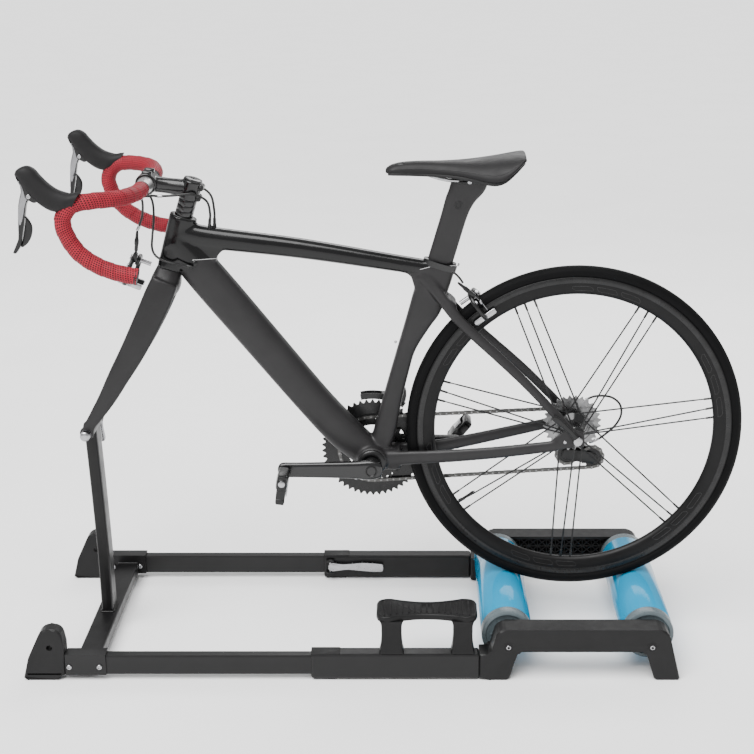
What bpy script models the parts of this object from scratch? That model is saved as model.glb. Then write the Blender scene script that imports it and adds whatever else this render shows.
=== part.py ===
"""A road bicycle clamped by its fork on a roller stand.

The stand lies along X. The bicycle faces -X, its left side is -Y and its chain side is +Y.
The origin is on the floor, under the middle of the whole object.
"""
import math

import bmesh
import bpy
from mathutils import Vector

GAP = 0.0003                      # clearance between touching pieces

# Stand
STAND_HALF_WIDTH = 0.240          # outer face of a roller housing
RAIL_OUT = 0.2375                 # outer face of a front rail
RAIL_WIDTH = 0.022
RAIL_LOW = 0.0112
RAIL_HIGH = 0.0512
RAIL_WALL = 0.002
SLEEVE_IN = 0.2085                # inner face of a rear sleeve
SLEEVE_LOW = 0.0034
SLEEVE_HIGH = 0.0552
SLEEVE_FRONT = -0.1487
SLEEVE_REAR = 0.1750
LOCK_PIN = (-0.1345, 0.20325)     # x and distance from the middle of each lock lever's upright pin
FOOT_NOSE = -0.7035
FOOT_REAR = -0.6225
BEAM_X = (-0.6050, -0.5600)       # the cross-beam's front and rear faces
BEAM_Z = (0.0130, 0.0360)
POST_HALF = (0.0125, 0.0225)      # half sizes of the fork post along X and Y
SKEWER_CAM_Y = 0.0720             # the pin of the skewer's cam lever

# Rollers and rear wheel
ROLLER_RADIUS = 0.0500
ROLLER_HALF_LENGTH = 0.187
ROLLER_WALL = 0.003
ROLLER_SPREAD = 0.138             # from the wheel's centre to each roller's axle, along X
ROLLER_Z = 0.070
AXLE_RADIUS = 0.005
WHEEL_X = 0.369
TYRE_RADIUS = 0.335
TYRE_HALF_WIDTH = 0.0125
TYRE_TO_ROLLER = 0.0004
WHEEL_Z = ROLLER_Z + math.sqrt((TYRE_RADIUS + ROLLER_RADIUS + TYRE_TO_ROLLER) ** 2 - ROLLER_SPREAD ** 2)
RIM_INNER = 0.278
RIM_OUTER = 0.3130
HUB_HALF = 0.0600                 # half the length of the hub's shell between its end caps
FLANGE_RIGHT = (0.0260, 0.0200)   # radius and Y of the chain side's spoke flange
FLANGE_LEFT = (0.0170, -0.0360)
SPOKE_GROUPS = 7
SPOKE_RADIUS = 0.0011
SPOKE_OFFSET = 0.0200             # distance of a group's outer spokes from its middle one
FIRST_GROUP = math.radians(9)
WHEEL_STEPS = 48                  # sides of the tyre and rim

# Bicycle frame, in the plane Y = 0
HEAD_ANGLE = math.radians(73)
SEAT_ANGLE = math.radians(73.7)
HEAD_POINT = Vector((-0.3920, 0, 0.8620))
FORK_AXLE = Vector((-0.5940, 0, 0.4370))
BOTTOM_BRACKET = Vector((-0.0340, 0, 0.3720))
SHELL_RADIUS = 0.0300
SHELL_HALF = 0.0400
SPINDLE_RADIUS = 0.0120
STEERER_RADIUS = 0.0143
HEAD_LOW, HEAD_HIGH = -0.1080, 0.0000     # ends of the head tube along the steering axis
BAR_CENTRE = Vector((-0.4445, 0, 0.9265))
BAR_HALF_WIDTH = 0.2110
BAR_RADIUS = 0.0115
RAIL_WIRE = 0.0035                        # radius of a saddle rail
TAPE_RADIUS = 0.0150
DROPOUT_HALF = 0.0654                     # inner face of a rear dropout

# Drivetrain
CHAIN_PITCH = 0.0127
RING_TEETH = (50, 34)
RING_Y = (0.0450, 0.0385)
RING_BORE = 0.0470                        # inner radius of both chainrings
RING_BOLTS = 0.0550                       # radius of the chainring bolts' circle
COG_TEETH = 13
PULLEY_TEETH = 11
COG_Y = 0.0500
CHAIN_HALF_THICK = 0.0038
CRANK_LENGTH = 0.170
GUIDE_PULLEY = (0.3622, 0.3577)
TENSION_PULLEY = (0.4140, 0.3500)

UP = Vector((0, 0, 1))
SIDEWAYS = Vector((0, 1, 0))
HEAD_UP = Vector((math.cos(HEAD_ANGLE), 0, math.sin(HEAD_ANGLE)))
SEAT_UP = Vector((math.cos(SEAT_ANGLE), 0, math.sin(SEAT_ANGLE)))
WHEEL_CENTRE = Vector((WHEEL_X, 0, WHEEL_Z))
LEFT, RIGHT = -1, 1
SIDES = (("left", LEFT), ("right", RIGHT))


# ---------------------------------------------------------------- helpers

def clear_scene():
    for obj in list(bpy.data.objects):
        bpy.data.objects.remove(obj, do_unlink=True)


def material(name, colour, roughness, metallic=0.0):
    mat = bpy.data.materials.new(name)
    mat.use_nodes = True
    shader = mat.node_tree.nodes["Principled BSDF"]
    shader.inputs["Base Color"].default_value = (*colour, 1.0)
    shader.inputs["Roughness"].default_value = roughness
    shader.inputs["Metallic"].default_value = metallic
    return mat


def finish(name, bm, mat):
    """Turn a bmesh into a closed, outward-facing object, smooth on its round parts."""
    bmesh.ops.remove_doubles(bm, verts=bm.verts, dist=1e-6)
    bmesh.ops.recalc_face_normals(bm, faces=bm.faces)
    mesh = bpy.data.meshes.new(name)
    bm.to_mesh(mesh)
    bm.free()
    mesh.materials.append(mat)
    mesh.shade_smooth()
    mesh.set_sharp_from_angle(angle=math.radians(35))
    obj = bpy.data.objects.new(name, mesh)
    bpy.context.scene.collection.objects.link(obj)
    return obj


def boolean(obj, cutter, operation="DIFFERENCE"):
    """Apply one exact Boolean and delete the cutter."""
    mod = obj.modifiers.new(operation.lower(), "BOOLEAN")
    mod.operation = operation
    mod.solver = "EXACT"
    mod.object = cutter
    depsgraph = bpy.context.evaluated_depsgraph_get()
    mesh = bpy.data.meshes.new_from_object(obj.evaluated_get(depsgraph))
    obj.modifiers.clear()
    obj.data = mesh
    mesh.name = obj.name
    bpy.data.objects.remove(cutter, do_unlink=True)
    return obj


def join(obj, *others):
    for other in others:
        boolean(obj, other, "UNION")
    return obj


def box(name, low, high, mat, bevel=0.0):
    bm = bmesh.new()
    bmesh.ops.create_cube(bm, size=1.0)
    for vert in bm.verts:
        for axis in range(3):
            vert.co[axis] = high[axis] if vert.co[axis] > 0 else low[axis]
    if bevel:
        bmesh.ops.bevel(bm, geom=bm.edges[:], offset=bevel, segments=2, profile=0.5, affect="EDGES")
    return finish(name, bm, mat)


def loft(name, rings, mat, loop=False):
    """Skin a list of equal rings of points, with flat ends or joined end to end."""
    bm = bmesh.new()
    rows = [[bm.verts.new(point) for point in ring] for ring in rings]
    count = len(rows[0])
    pairs = list(zip(rows, rows[1:]))
    if loop:
        pairs.append((rows[-1], rows[0]))
    for first, second in pairs:
        for i in range(count):
            j = (i + 1) % count
            bm.faces.new((first[i], first[j], second[j], second[i]))
    if not loop:
        bm.faces.new(rows[0])
        bm.faces.new(list(reversed(rows[-1])))
    return finish(name, bm, mat)


def oval(centre, u, v, a, b, sides=12, power=2.0):
    """Points of a superellipse with half axes a along u and b along v."""
    points = []
    for i in range(sides):
        angle = 2 * math.pi * i / sides
        c, s = math.cos(angle), math.sin(angle)
        x = math.copysign(abs(c) ** (2 / power), c)
        y = math.copysign(abs(s) ** (2 / power), s)
        points.append(centre + u * (a * x) + v * (b * y))
    return points


def frame_tube(name, stations, mat, grow=0.0, sides=12, power=2.3):
    """A tube in the frame's plane: each station is x, z, half depth, half width and optionally y."""
    places = [Vector((s[0], s[4] if len(s) > 4 else 0.0, s[1])) for s in stations]
    rings = []
    for i, station in enumerate(stations):
        along = places[min(i + 1, len(places) - 1)] - places[max(i - 1, 0)]
        depth = Vector((-along.z, 0, along.x)).normalized()
        rings.append(oval(places[i], depth, SIDEWAYS, station[2] + grow, station[3] + grow, sides, power))
    return loft(name, rings, mat)


def path_frames(points):
    """Two perpendicular unit vectors at each point, carried along the path without twist."""
    frames = []
    normal = None
    for i, point in enumerate(points):
        along = (points[min(i + 1, len(points) - 1)] - points[max(i - 1, 0)]).normalized()
        if normal is None:
            normal = along.cross(UP if abs(along.z) < 0.9 else SIDEWAYS).normalized()
        normal = (normal - along * normal.dot(along)).normalized()
        frames.append((normal, along.cross(normal)))
    return frames


def sweep(name, points, radius, mat, sides=10, bore=0.0):
    """A round bar along a path, or a hollow one if it has a bore."""
    frames = path_frames(points)
    rings = [oval(p, u, v, radius, radius, sides) for p, (u, v) in zip(points, frames)]
    if bore:
        inner = [oval(p, u, v, bore, bore, sides) for p, (u, v) in zip(points, frames)]
        rings = rings + inner[::-1]
    return loft(name, rings, mat, loop=bool(bore))


def curve_through(points, steps):
    """A smooth Catmull-Rom curve through the points."""
    points = [Vector(p) for p in points]
    ends = [2 * points[0] - points[1]] + points + [2 * points[-1] - points[-2]]
    out = []
    for a, b, c, d in zip(ends, ends[1:], ends[2:], ends[3:]):
        for k in range(steps):
            t = k / steps
            out.append(0.5 * (2 * b + (c - a) * t + (2 * a - 5 * b + 4 * c - d) * t ** 2
                              + (3 * b - a - 3 * c + d) * t ** 3))
    out.append(points[-1])
    return out


def turned(name, profile, mat, centre=(0, 0), steps=32, ring=False):
    """A shape turned about a line along Y; the profile is a list of radius and Y."""
    bm = bmesh.new()
    rows = []
    for radius, y in profile:
        if radius == 0:
            rows.append([bm.verts.new((centre[0], y, centre[1]))])
            continue
        row = []
        for i in range(steps):
            angle = 2 * math.pi * i / steps
            x = centre[0] + radius * math.cos(angle)
            z = centre[1] + radius * math.sin(angle)
            row.append(bm.verts.new((x, y, z)))
        rows.append(row)
    pairs = list(zip(rows, rows[1:]))
    if ring:
        pairs.append((rows[-1], rows[0]))
    for first, second in pairs:
        for i in range(steps):
            j = (i + 1) % steps
            if len(first) == 1:
                bm.faces.new((first[0], second[j], second[i]))
            elif len(second) == 1:
                bm.faces.new((first[i], first[j], second[0]))
            else:
                bm.faces.new((first[i], first[j], second[j], second[i]))
    return finish(name, bm, mat)


def cylinder_y(name, centre, radius, y0, y1, mat, steps=24):
    return turned(name, [(0, y0), (radius, y0), (radius, y1), (0, y1)], mat, centre, steps)


def rounded(corners, steps=4):
    """An outline whose corners, each x, z and radius, are turned into arcs."""
    points = []
    count = len(corners)
    for i, (x, z, radius) in enumerate(corners):
        here = Vector((x, z))
        if radius == 0:
            points.append(here)
            continue
        back = (Vector(corners[i - 1][:2]) - here).normalized()
        ahead = (Vector(corners[(i + 1) % count][:2]) - here).normalized()
        half = math.acos(max(-1, min(1, back.dot(ahead)))) / 2
        reach = radius / math.tan(half)
        middle = here + (back + ahead).normalized() * (radius / math.sin(half))
        start = here + back * reach - middle
        end = here + ahead * reach - middle
        turn = start.angle_signed(end)
        for k in range(steps + 1):
            angle = -turn * k / steps
            c, s = math.cos(angle), math.sin(angle)
            points.append(middle + Vector((start.x * c - start.y * s, start.x * s + start.y * c)))
    return points


def plate(name, outline, y0, y1, mat, bevel=0.0):
    """An outline in X and Z, given a thickness along Y."""
    bm = bmesh.new()
    low = [bm.verts.new((p[0], y0, p[1])) for p in outline]
    high = [bm.verts.new((p[0], y1, p[1])) for p in outline]
    count = len(outline)
    for i in range(count):
        j = (i + 1) % count
        bm.faces.new((low[i], low[j], high[j], high[i]))
    rims = [bm.faces.new(low), bm.faces.new(list(reversed(high)))]
    if bevel:
        edges = list({edge for face in rims for edge in face.edges})
        bmesh.ops.bevel(bm, geom=edges, offset=bevel, segments=1, affect="EDGES")
    return finish(name, bm, mat)


def cord(name, points, radius, mat):
    """A cable made as a bevelled curve."""
    curve = bpy.data.curves.new(name, "CURVE")
    curve.dimensions = "3D"
    curve.bevel_depth = radius
    curve.bevel_resolution = 2
    curve.use_fill_caps = True
    spline = curve.splines.new("POLY")
    spline.points.add(len(points) - 1)
    for slot, point in zip(spline.points, points):
        slot.co = (*point, 1.0)
    curve.materials.append(mat)
    obj = bpy.data.objects.new(name, curve)
    bpy.context.scene.collection.objects.link(obj)
    return obj


def mix(a, b, t):
    return a + (b - a) * t


# ---------------------------------------------------------------- stand

def rail(name, side, mat):
    """A flat front tube on edge; its rear end telescopes into the sleeve."""
    y0, y1 = sorted((side * RAIL_OUT, side * (RAIL_OUT - RAIL_WIDTH)))
    x0, x1 = FOOT_REAR + GAP, SLEEVE_FRONT + 0.200
    tube = box(name, (x0, y0, RAIL_LOW), (x1, y1, RAIL_HIGH), mat, bevel=0.003)
    wall = RAIL_WALL
    hole = box("hole", (x0 - 1, y0 + wall, RAIL_LOW + wall), (x1 + 1, y1 - wall, RAIL_HIGH - wall), mat)
    return boolean(tube, hole)


def sleeve(name, side, mat):
    """The larger tube that a front rail slides in, with the lugs of its clamp lever."""
    y0, y1 = sorted((side * STAND_HALF_WIDTH, side * SLEEVE_IN))
    body = box(name, (SLEEVE_FRONT, y0, SLEEVE_LOW), (SLEEVE_REAR, y1, SLEEVE_HIGH), mat, bevel=0.004)
    for z in (0.0170, 0.0440):
        lug = rounded([(-0.1430, -0.001, 0), (-0.1430, 0.012, 0.005), (-0.1260, 0.012, 0.005), (-0.1260, -0.001, 0)])
        bm = bmesh.new()
        rows = []
        for height in (z, z + 0.003):
            rows.append([bm.verts.new((p[0], side * (SLEEVE_IN - p[1]), height)) for p in lug])
        for i in range(len(lug)):
            j = (i + 1) % len(lug)
            bm.faces.new((rows[0][i], rows[0][j], rows[1][j], rows[1][i]))
        bm.faces.new(rows[0])
        bm.faces.new(list(reversed(rows[1])))
        join(body, finish("lug", bm, mat))
    pad = box("pad", (-0.1440, y0 + 0.006, 0.0), (-0.1000, y1 - 0.006, SLEEVE_LOW + 0.002), mat)
    join(body, pad)
    hole_y = sorted((side * (RAIL_OUT + GAP), side * (RAIL_OUT - RAIL_WIDTH - GAP)))
    hole = box("hole", (-1, hole_y[0], RAIL_LOW - GAP), (1, hole_y[1], RAIL_HIGH + GAP), mat)
    return boolean(body, hole)


def lock_lever(name, side, mat):
    """A wavy flip lever that pinches the sleeve on the rail; it turns on an upright pin."""
    outline = rounded([(LOCK_PIN[0] - 0.0045, 0.0215, 0.003), (-0.0790, 0.0230, 0.03), (-0.0180, 0.0210, 0.004),
                       (-0.0180, 0.0395, 0.004), (-0.0480, 0.0425, 0.02), (-0.1000, 0.0395, 0.02),
                       (LOCK_PIN[0] - 0.0045, 0.0425, 0.003)], 3)
    y0, y1 = sorted((side * (LOCK_PIN[1] + 0.00375), side * (LOCK_PIN[1] - 0.00375)))
    return plate(name, outline, y0, y1, mat, bevel=0.0015)


def front_foot(name, side, mat):
    outline = rounded([(FOOT_NOSE, 0.0040, 0.001), (-0.6930, 0.0035, 0), (-0.6915, 0, 0), (-0.6420, 0, 0),
                       (-0.6400, 0.0040, 0), (FOOT_REAR, 0.0110, 0), (FOOT_REAR, 0.0720, 0.003),
                       (-0.6270, 0.1080, 0.018), (-0.6640, 0.1080, 0.022), (-0.6920, 0.0480, 0.03)])
    y0, y1 = sorted((side * STAND_HALF_WIDTH, side * 0.2100))
    foot = plate(name, outline, y0, y1, mat, bevel=0.003)
    return boolean(foot, cylinder_y("hole", (-0.6500, 0.0692), 0.006, -1, 1, mat, 16))


def cross_beam(name, mat):
    """The flat beam between the rails, with a saddle welded on each end that bolts over the rail."""
    rail_in = RAIL_OUT - RAIL_WIDTH
    beam = box(name, (BEAM_X[0], -rail_in + 0.003, BEAM_Z[0]), (BEAM_X[1], rail_in - 0.003, BEAM_Z[1]), mat,
               bevel=0.002)
    for _, side in SIDES:
        y0, y1 = sorted((side * STAND_HALF_WIDTH, side * (rail_in - 0.004)))
        clasp = box("clasp", (-0.6215, y0, RAIL_LOW + 0.0005), (-0.5435, y1, 0.0545), mat)
        h0, h1 = sorted((side * (RAIL_OUT + GAP), side * (rail_in - GAP)))
        hollow = box("hollow", (-1, h0, -1), (1, h1, RAIL_HIGH + GAP), mat)
        boolean(clasp, hollow)
        join(beam, clasp)
    return beam


def fork_post(name, mat):
    """The upright, gently bent forwards, that ends in the cross tube for the fork's dropouts."""
    rings = []
    bend = curve_through([(-0.5823, 0, BEAM_Z[1] - 0.004), (-0.5835, 0, 0.16), (-0.5880, 0, 0.30),
                          (FORK_AXLE.x, 0, FORK_AXLE.z)], 3)
    for point in bend:
        rings.append(oval(point, Vector((1, 0, 0)), SIDEWAYS, POST_HALF[0], POST_HALF[1], 16, 6))
    post = loft(name, rings, mat)
    head = cylinder_y("head", (FORK_AXLE.x, FORK_AXLE.z), 0.0130, -0.0495, 0.0495, mat, 20)
    join(post, head)
    return boolean(post, cylinder_y("bore", (FORK_AXLE.x, FORK_AXLE.z), 0.0048, -1, 1, mat, 16))


def fork_skewer(name, mat):
    """The quick-release rod through the post's cross tube, with its nut on the left."""
    profile = [(0, -0.0720), (0.0065, -0.0720), (0.0090, -0.0700), (0.0095, -0.0600), (0.0045, -0.0600),
               (0.0045, 0.0600), (0.0080, 0.0600), (0.0080, 0.0640), (0, 0.0640)]
    return turned(name, profile, mat, (FORK_AXLE.x, FORK_AXLE.z), 16)


def skewer_lever(name, mat):
    """The cam lever on the right end of the skewer, closed and pointing down."""
    x, z = FORK_AXLE.x, FORK_AXLE.z
    rings = []
    cam = SKEWER_CAM_Y
    for dz, y, half_x, half_y in ((0.0062, cam, 0.0040, 0.0020), (0.0030, cam, 0.0080, 0.0055),
                                  (-0.0060, cam, 0.0080, 0.0055), (-0.0140, 0.0725, 0.0070, 0.0045),
                                  (-0.030, 0.0760, 0.0060, 0.0025), (-0.056, 0.0790, 0.0085, 0.0025),
                                  (-0.064, 0.0790, 0.0040, 0.0015)):
        rings.append(oval(Vector((x, y, z + dz)), Vector((1, 0, 0)), SIDEWAYS, half_x, half_y, 10))
    return loft(name, rings, mat)


def roller_housing(name, side, mat):
    """The casting at the rear of each rail that carries the rollers' axles."""
    outline = rounded([(SLEEVE_REAR + GAP, 0.0035, 0), (0.1985, 0.0035, 0), (0.2000, 0, 0), (0.2290, 0, 0),
                       (0.2335, 0.0040, 0), (0.2500, 0.0607, 0.006), (0.4950, 0.0607, 0.008), (0.5126, 0.0040, 0),
                       (0.5170, 0, 0), (0.5600, 0, 0), (0.5625, 0.0040, 0), (0.5370, 0.1071, 0.024),
                       (0.2100, 0.1071, 0.020), (0.1960, 0.0552, 0.008), (SLEEVE_REAR + GAP, 0.0552, 0)])
    y_out, y_in = side * STAND_HALF_WIDTH, side * 0.195
    y0, y1 = sorted((y_out, y_in))
    body = plate(name, outline, y0, y1, mat, bevel=0.003)
    p0, p1 = sorted((side * (STAND_HALF_WIDTH - 0.005), side * 0.1))
    boolean(body, box("pocket", (0.262, p0, 0.0670), (0.478, p1, 0.1010), mat))
    for x in (WHEEL_X - ROLLER_SPREAD, WHEEL_X + ROLLER_SPREAD):
        boolean(body, cylinder_y("bore", (x, ROLLER_Z), AXLE_RADIUS + GAP, -1, 1, mat, 16))
    return body


def side_step(name, mat):
    """The footstep on the left sleeve: a dog-bone tread on two legs with flared feet."""
    y_mid, top, under = -0.1985, 0.1340, 0.1215
    low_x, high_x = -0.0228, 0.1711
    middle = (low_x + high_x) / 2
    outline = []
    steps = 24
    for i in range(steps + 1):
        x = mix(low_x, high_x, i / steps)
        reach = abs(x - middle) / (middle - low_x)
        waist = 0.0280 + 0.0125 * min(1, (reach / 0.75) ** 2)
        corner = math.sqrt(max(0.0, 1 - max(0, (reach - 0.8) / 0.2) ** 2))
        outline.append((x, waist * (0.55 + 0.45 * corner)))
    bm = bmesh.new()
    near = [(x, y_mid - half) for x, half in outline]
    far = [(x, y_mid + half) for x, half in reversed(outline)]
    loop = near + far
    low = [bm.verts.new((x, y, under)) for x, y in loop]
    high = [bm.verts.new((x, y, top)) for x, y in loop]
    for i in range(len(loop)):
        j = (i + 1) % len(loop)
        bm.faces.new((low[i], low[j], high[j], high[i]))
    bm.faces.new(low)
    bm.faces.new(list(reversed(high)))
    step = finish(name, bm, mat)
    for x0, x1 in ((-0.0137, 0.0265), (0.1240, 0.1625)):
        rings = []
        for z, flare in ((SLEEVE_HIGH + GAP, 0.003), (SLEEVE_HIGH + 0.010, 0.0015), (SLEEVE_HIGH + 0.022, 0),
                         (under + 0.004, 0)):
            centre = Vector(((x0 + x1) / 2, -0.2242, z))
            rings.append(oval(centre, Vector((1, 0, 0)), SIDEWAYS, (x1 - x0) / 2 + flare, 0.0135 + flare / 2, 16, 8))
        join(step, loft("leg", rings, mat))
    return step


def roller(name, x, mat):
    """The hollow drum and its end caps, open only at the bore that the fixed axle runs through."""
    half, r = ROLLER_HALF_LENGTH, ROLLER_RADIUS
    bore = AXLE_RADIUS + GAP
    inner, cap = r - ROLLER_WALL, half - 0.014
    profile = [(bore, -cap), (bore, -half - 0.004), (0.012, -half - 0.004), (0.014, -half), (r - 0.0035, -half),
               (r, -half + 0.0035), (r, half - 0.0035), (r - 0.0035, half), (0.014, half), (0.012, half + 0.004),
               (bore, half + 0.004), (bore, cap), (inner, cap), (inner, -cap)]
    return turned(name, profile, mat, (x, ROLLER_Z), 28, ring=True)


def roller_axle(name, x, mat):
    return cylinder_y(name, (x, ROLLER_Z), AXLE_RADIUS, -0.2385, 0.2385, mat, 16)


# ---------------------------------------------------------------- frame and fork

def head_stations(beyond=0.0):
    """The head tube along the steering axis, narrower in the middle, and run on past its ends."""
    stations = []
    sizes = [(HEAD_LOW, 0.0245, 0.0215), (-0.080, 0.0245, 0.0195), (-0.040, 0.0255, 0.0185),
             (HEAD_HIGH, 0.0270, 0.0205)]
    if beyond:
        sizes.insert(0, (HEAD_LOW - beyond, 0.0245, 0.0215))
        sizes.append((HEAD_HIGH + beyond, 0.0270, 0.0205))
    for s, depth, width in sizes:
        point = HEAD_POINT + HEAD_UP * s
        stations.append((point.x, point.z, depth, width))
    return stations


def top_tube_stations():
    return ((-0.3900, 0.8300, 0.0215, 0.0200), (-0.3400, 0.8195, 0.0210, 0.0200), (-0.1700, 0.7990, 0.0193, 0.0195),
            (0.0100, 0.7705, 0.0160, 0.0175), (0.0850, 0.7570, 0.0150, 0.0160))


def down_tube_stations():
    return ((-0.4080, 0.8130, 0.0300, 0.0200), (-0.3566, 0.7488, 0.0370, 0.0220), (-0.2500, 0.6157, 0.0360, 0.0240),
            (-0.1490, 0.4896, 0.0345, 0.0260), (-0.0900, 0.4230, 0.0345, 0.0300), (-0.0400, 0.3780, 0.0290, 0.0340))


def seat_tube_stations():
    """Height, front edge, rear edge and half width; the rear edge curves in round the wheel."""
    edges = ((0.3850, -0.0440, 0.0020, 0.0200), (0.4295, -0.0310, 0.0150, 0.0170), (0.4896, -0.0143, 0.0257, 0.0150),
             (0.5500, 0.0025, 0.0400, 0.0150), (0.5948, 0.0152, 0.0530, 0.0155), (0.6400, 0.0280, 0.0820, 0.0165),
             (0.6729, 0.0372, 0.1040, 0.0170), (0.7267, 0.0522, 0.1215, 0.0170), (0.7700, 0.0680, 0.1330, 0.0165))
    return edges


def seat_tube_solid(name, mat, grow=0.0, beyond=0.0):
    rings = []
    stations = list(seat_tube_stations())
    if beyond:
        z, front, rear, width = stations[-1]
        lean = beyond * SEAT_UP.x / SEAT_UP.z
        stations.append((z + beyond, front + lean, rear + lean, width))
    for z, front, rear, width in stations:
        centre = Vector(((front + rear) / 2, 0, z))
        rings.append(oval(centre, Vector((1, 0, 0)), SIDEWAYS, (rear - front) / 2 + grow, width + grow, 16, 2.5))
    return loft(name, rings, mat)


def seatpost_section(height, grow=0.0, depth=0.0245, width=0.0095):
    """The post's ring where its axis reaches a height; its section stays square to the axis."""
    centre = Vector((0.1078, 0, 0.8000)) + SEAT_UP * ((height - 0.8000) / SEAT_UP.z)
    back = Vector((SEAT_UP.z, 0, -SEAT_UP.x))
    return oval(centre, back, SIDEWAYS, depth + grow, width + grow, 16, 2.3)


def head_tube(name, mat):
    tube = frame_tube(name, head_stations(), mat, sides=16)
    low = HEAD_POINT + HEAD_UP * (HEAD_LOW - 0.05)
    high = HEAD_POINT + HEAD_UP * (HEAD_HIGH + 0.05)
    return boolean(tube, sweep("bore", [low, high], STEERER_RADIUS + GAP, mat, 20))


def seat_tube(name, mat):
    """The seat tube, hollow at the top where the seatpost slides, cut off over the shell."""
    tube = seat_tube_solid(name, mat)
    socket = loft("socket", [seatpost_section(0.6800, GAP), seatpost_section(0.9000, GAP)], mat)
    boolean(tube, socket)
    centre = (BOTTOM_BRACKET.x, BOTTOM_BRACKET.z)
    boolean(tube, cylinder_y("clear", centre, SHELL_RADIUS + GAP, -1, 1, mat, 32))
    return boolean(tube, frame_tube("clear", down_tube_stations(), mat, GAP))


def top_tube(name, mat):
    tube = frame_tube(name, top_tube_stations(), mat)
    boolean(tube, frame_tube("clear", head_stations(0.02), mat, GAP, 16))
    return boolean(tube, seat_tube_solid("clear", mat, GAP, 0.03))


def down_tube(name, mat):
    """The down tube with the bottom bracket's shell in one piece, bored for the spindle."""
    tube = frame_tube(name, down_tube_stations(), mat)
    boolean(tube, frame_tube("clear", head_stations(0.03), mat, GAP, 16))
    boolean(tube, frame_tube("clear", top_tube_stations(), mat, GAP))
    centre = (BOTTOM_BRACKET.x, BOTTOM_BRACKET.z)
    join(tube, cylinder_y("shell", centre, SHELL_RADIUS, -SHELL_HALF, SHELL_HALF, mat, 32))
    return boolean(tube, cylinder_y("bore", centre, SPINDLE_RADIUS + GAP, -1, 1, mat, 24))


def slot_outline(x, z, half, depth):
    """The edge of a slot, open downwards, whose round end fits an axle at x and z."""
    arc = [(x - half * math.cos(math.radians(a)), z + half * math.sin(math.radians(a)), 0) for a in range(0, 181, 30)]
    return [(x - half, z - depth, 0)] + arc + [(x + half, z - depth, 0)]


def dropout_plate(side, mat):
    """The end of the rear triangle: a plate with a slot, open downwards, for the axle."""
    x, z = WHEEL_X, WHEEL_Z
    outline = rounded([(x - 0.045, z - 0.019, 0.004)] + slot_outline(x, z, 0.0055, 0.018)
                      + [(x + 0.016, z - 0.016, 0.004), (x + 0.014, z + 0.016, 0.008),
                         (x - 0.014, z + 0.024, 0.006), (x - 0.045, z + 0.004, 0.006)])
    y0, y1 = sorted((side * DROPOUT_HALF, side * (DROPOUT_HALF + 0.005)))
    return plate("dropout", outline, y0, y1, mat)


def chainstays(name, mat):
    """Both lower stays with their bridge behind the shell and their dropouts."""
    stays = box(name, (0.0, -0.026, 0.3640), (0.0240, 0.026, 0.3900), mat, bevel=0.003)
    for _, side in SIDES:
        path = curve_through([(-0.004, side * 0.0260, 0.3760), (0.045, side * 0.0262, 0.3775),
                              (0.120, side * 0.0340, 0.3840), (0.220, side * 0.0520, 0.3990),
                              (0.330, side * 0.0679, 0.4185)], 2)
        stations = []
        for i, p in enumerate(path):
            t = i / (len(path) - 1)
            stations.append((p.x, p.z, mix(0.0150, 0.0115, t), mix(0.0072, 0.0062, t), p.y))
        join(stays, frame_tube("stay", stations, mat, sides=10))
        join(stays, dropout_plate(side, mat))
    centre = (BOTTOM_BRACKET.x, BOTTOM_BRACKET.z)
    boolean(stays, cylinder_y("clear", centre, SHELL_RADIUS + GAP, -1, 1, mat, 32))
    boolean(stays, frame_tube("clear", down_tube_stations(), mat, GAP))
    return boolean(stays, seat_tube_solid("clear", mat, GAP))


def seatstays(name, mat):
    """Both upper stays, joined by the bridge that carries the rear brake."""
    bridge = rounded([(0.1080, 0.6930, 0.004), (0.1230, 0.6800, 0.004), (0.1340, 0.6900, 0.004),
                      (0.1190, 0.7050, 0.004)])
    stays = plate(name, bridge, -0.0280, 0.0280, mat)
    for _, side in SIDES:
        path = curve_through([(0.0850, side * 0.0230, 0.7300), (0.1356, side * 0.0330, 0.6648),
                              (0.2100, side * 0.0420, 0.5950), (0.2750, side * 0.0540, 0.5341),
                              (0.3560, side * 0.0679, 0.4480)], 2)
        stations = []
        for i, p in enumerate(path):
            t = i / (len(path) - 1)
            stations.append((p.x, p.z, mix(0.0115, 0.0085, t), mix(0.0085, 0.0055, t), p.y))
        join(stays, frame_tube("stay", stations, mat, sides=10))
    return boolean(stays, seat_tube_solid("clear", mat, GAP))


def rear_triangle(name, mat):
    return join(chainstays(name, mat), seatstays("seatstays", mat))


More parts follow.
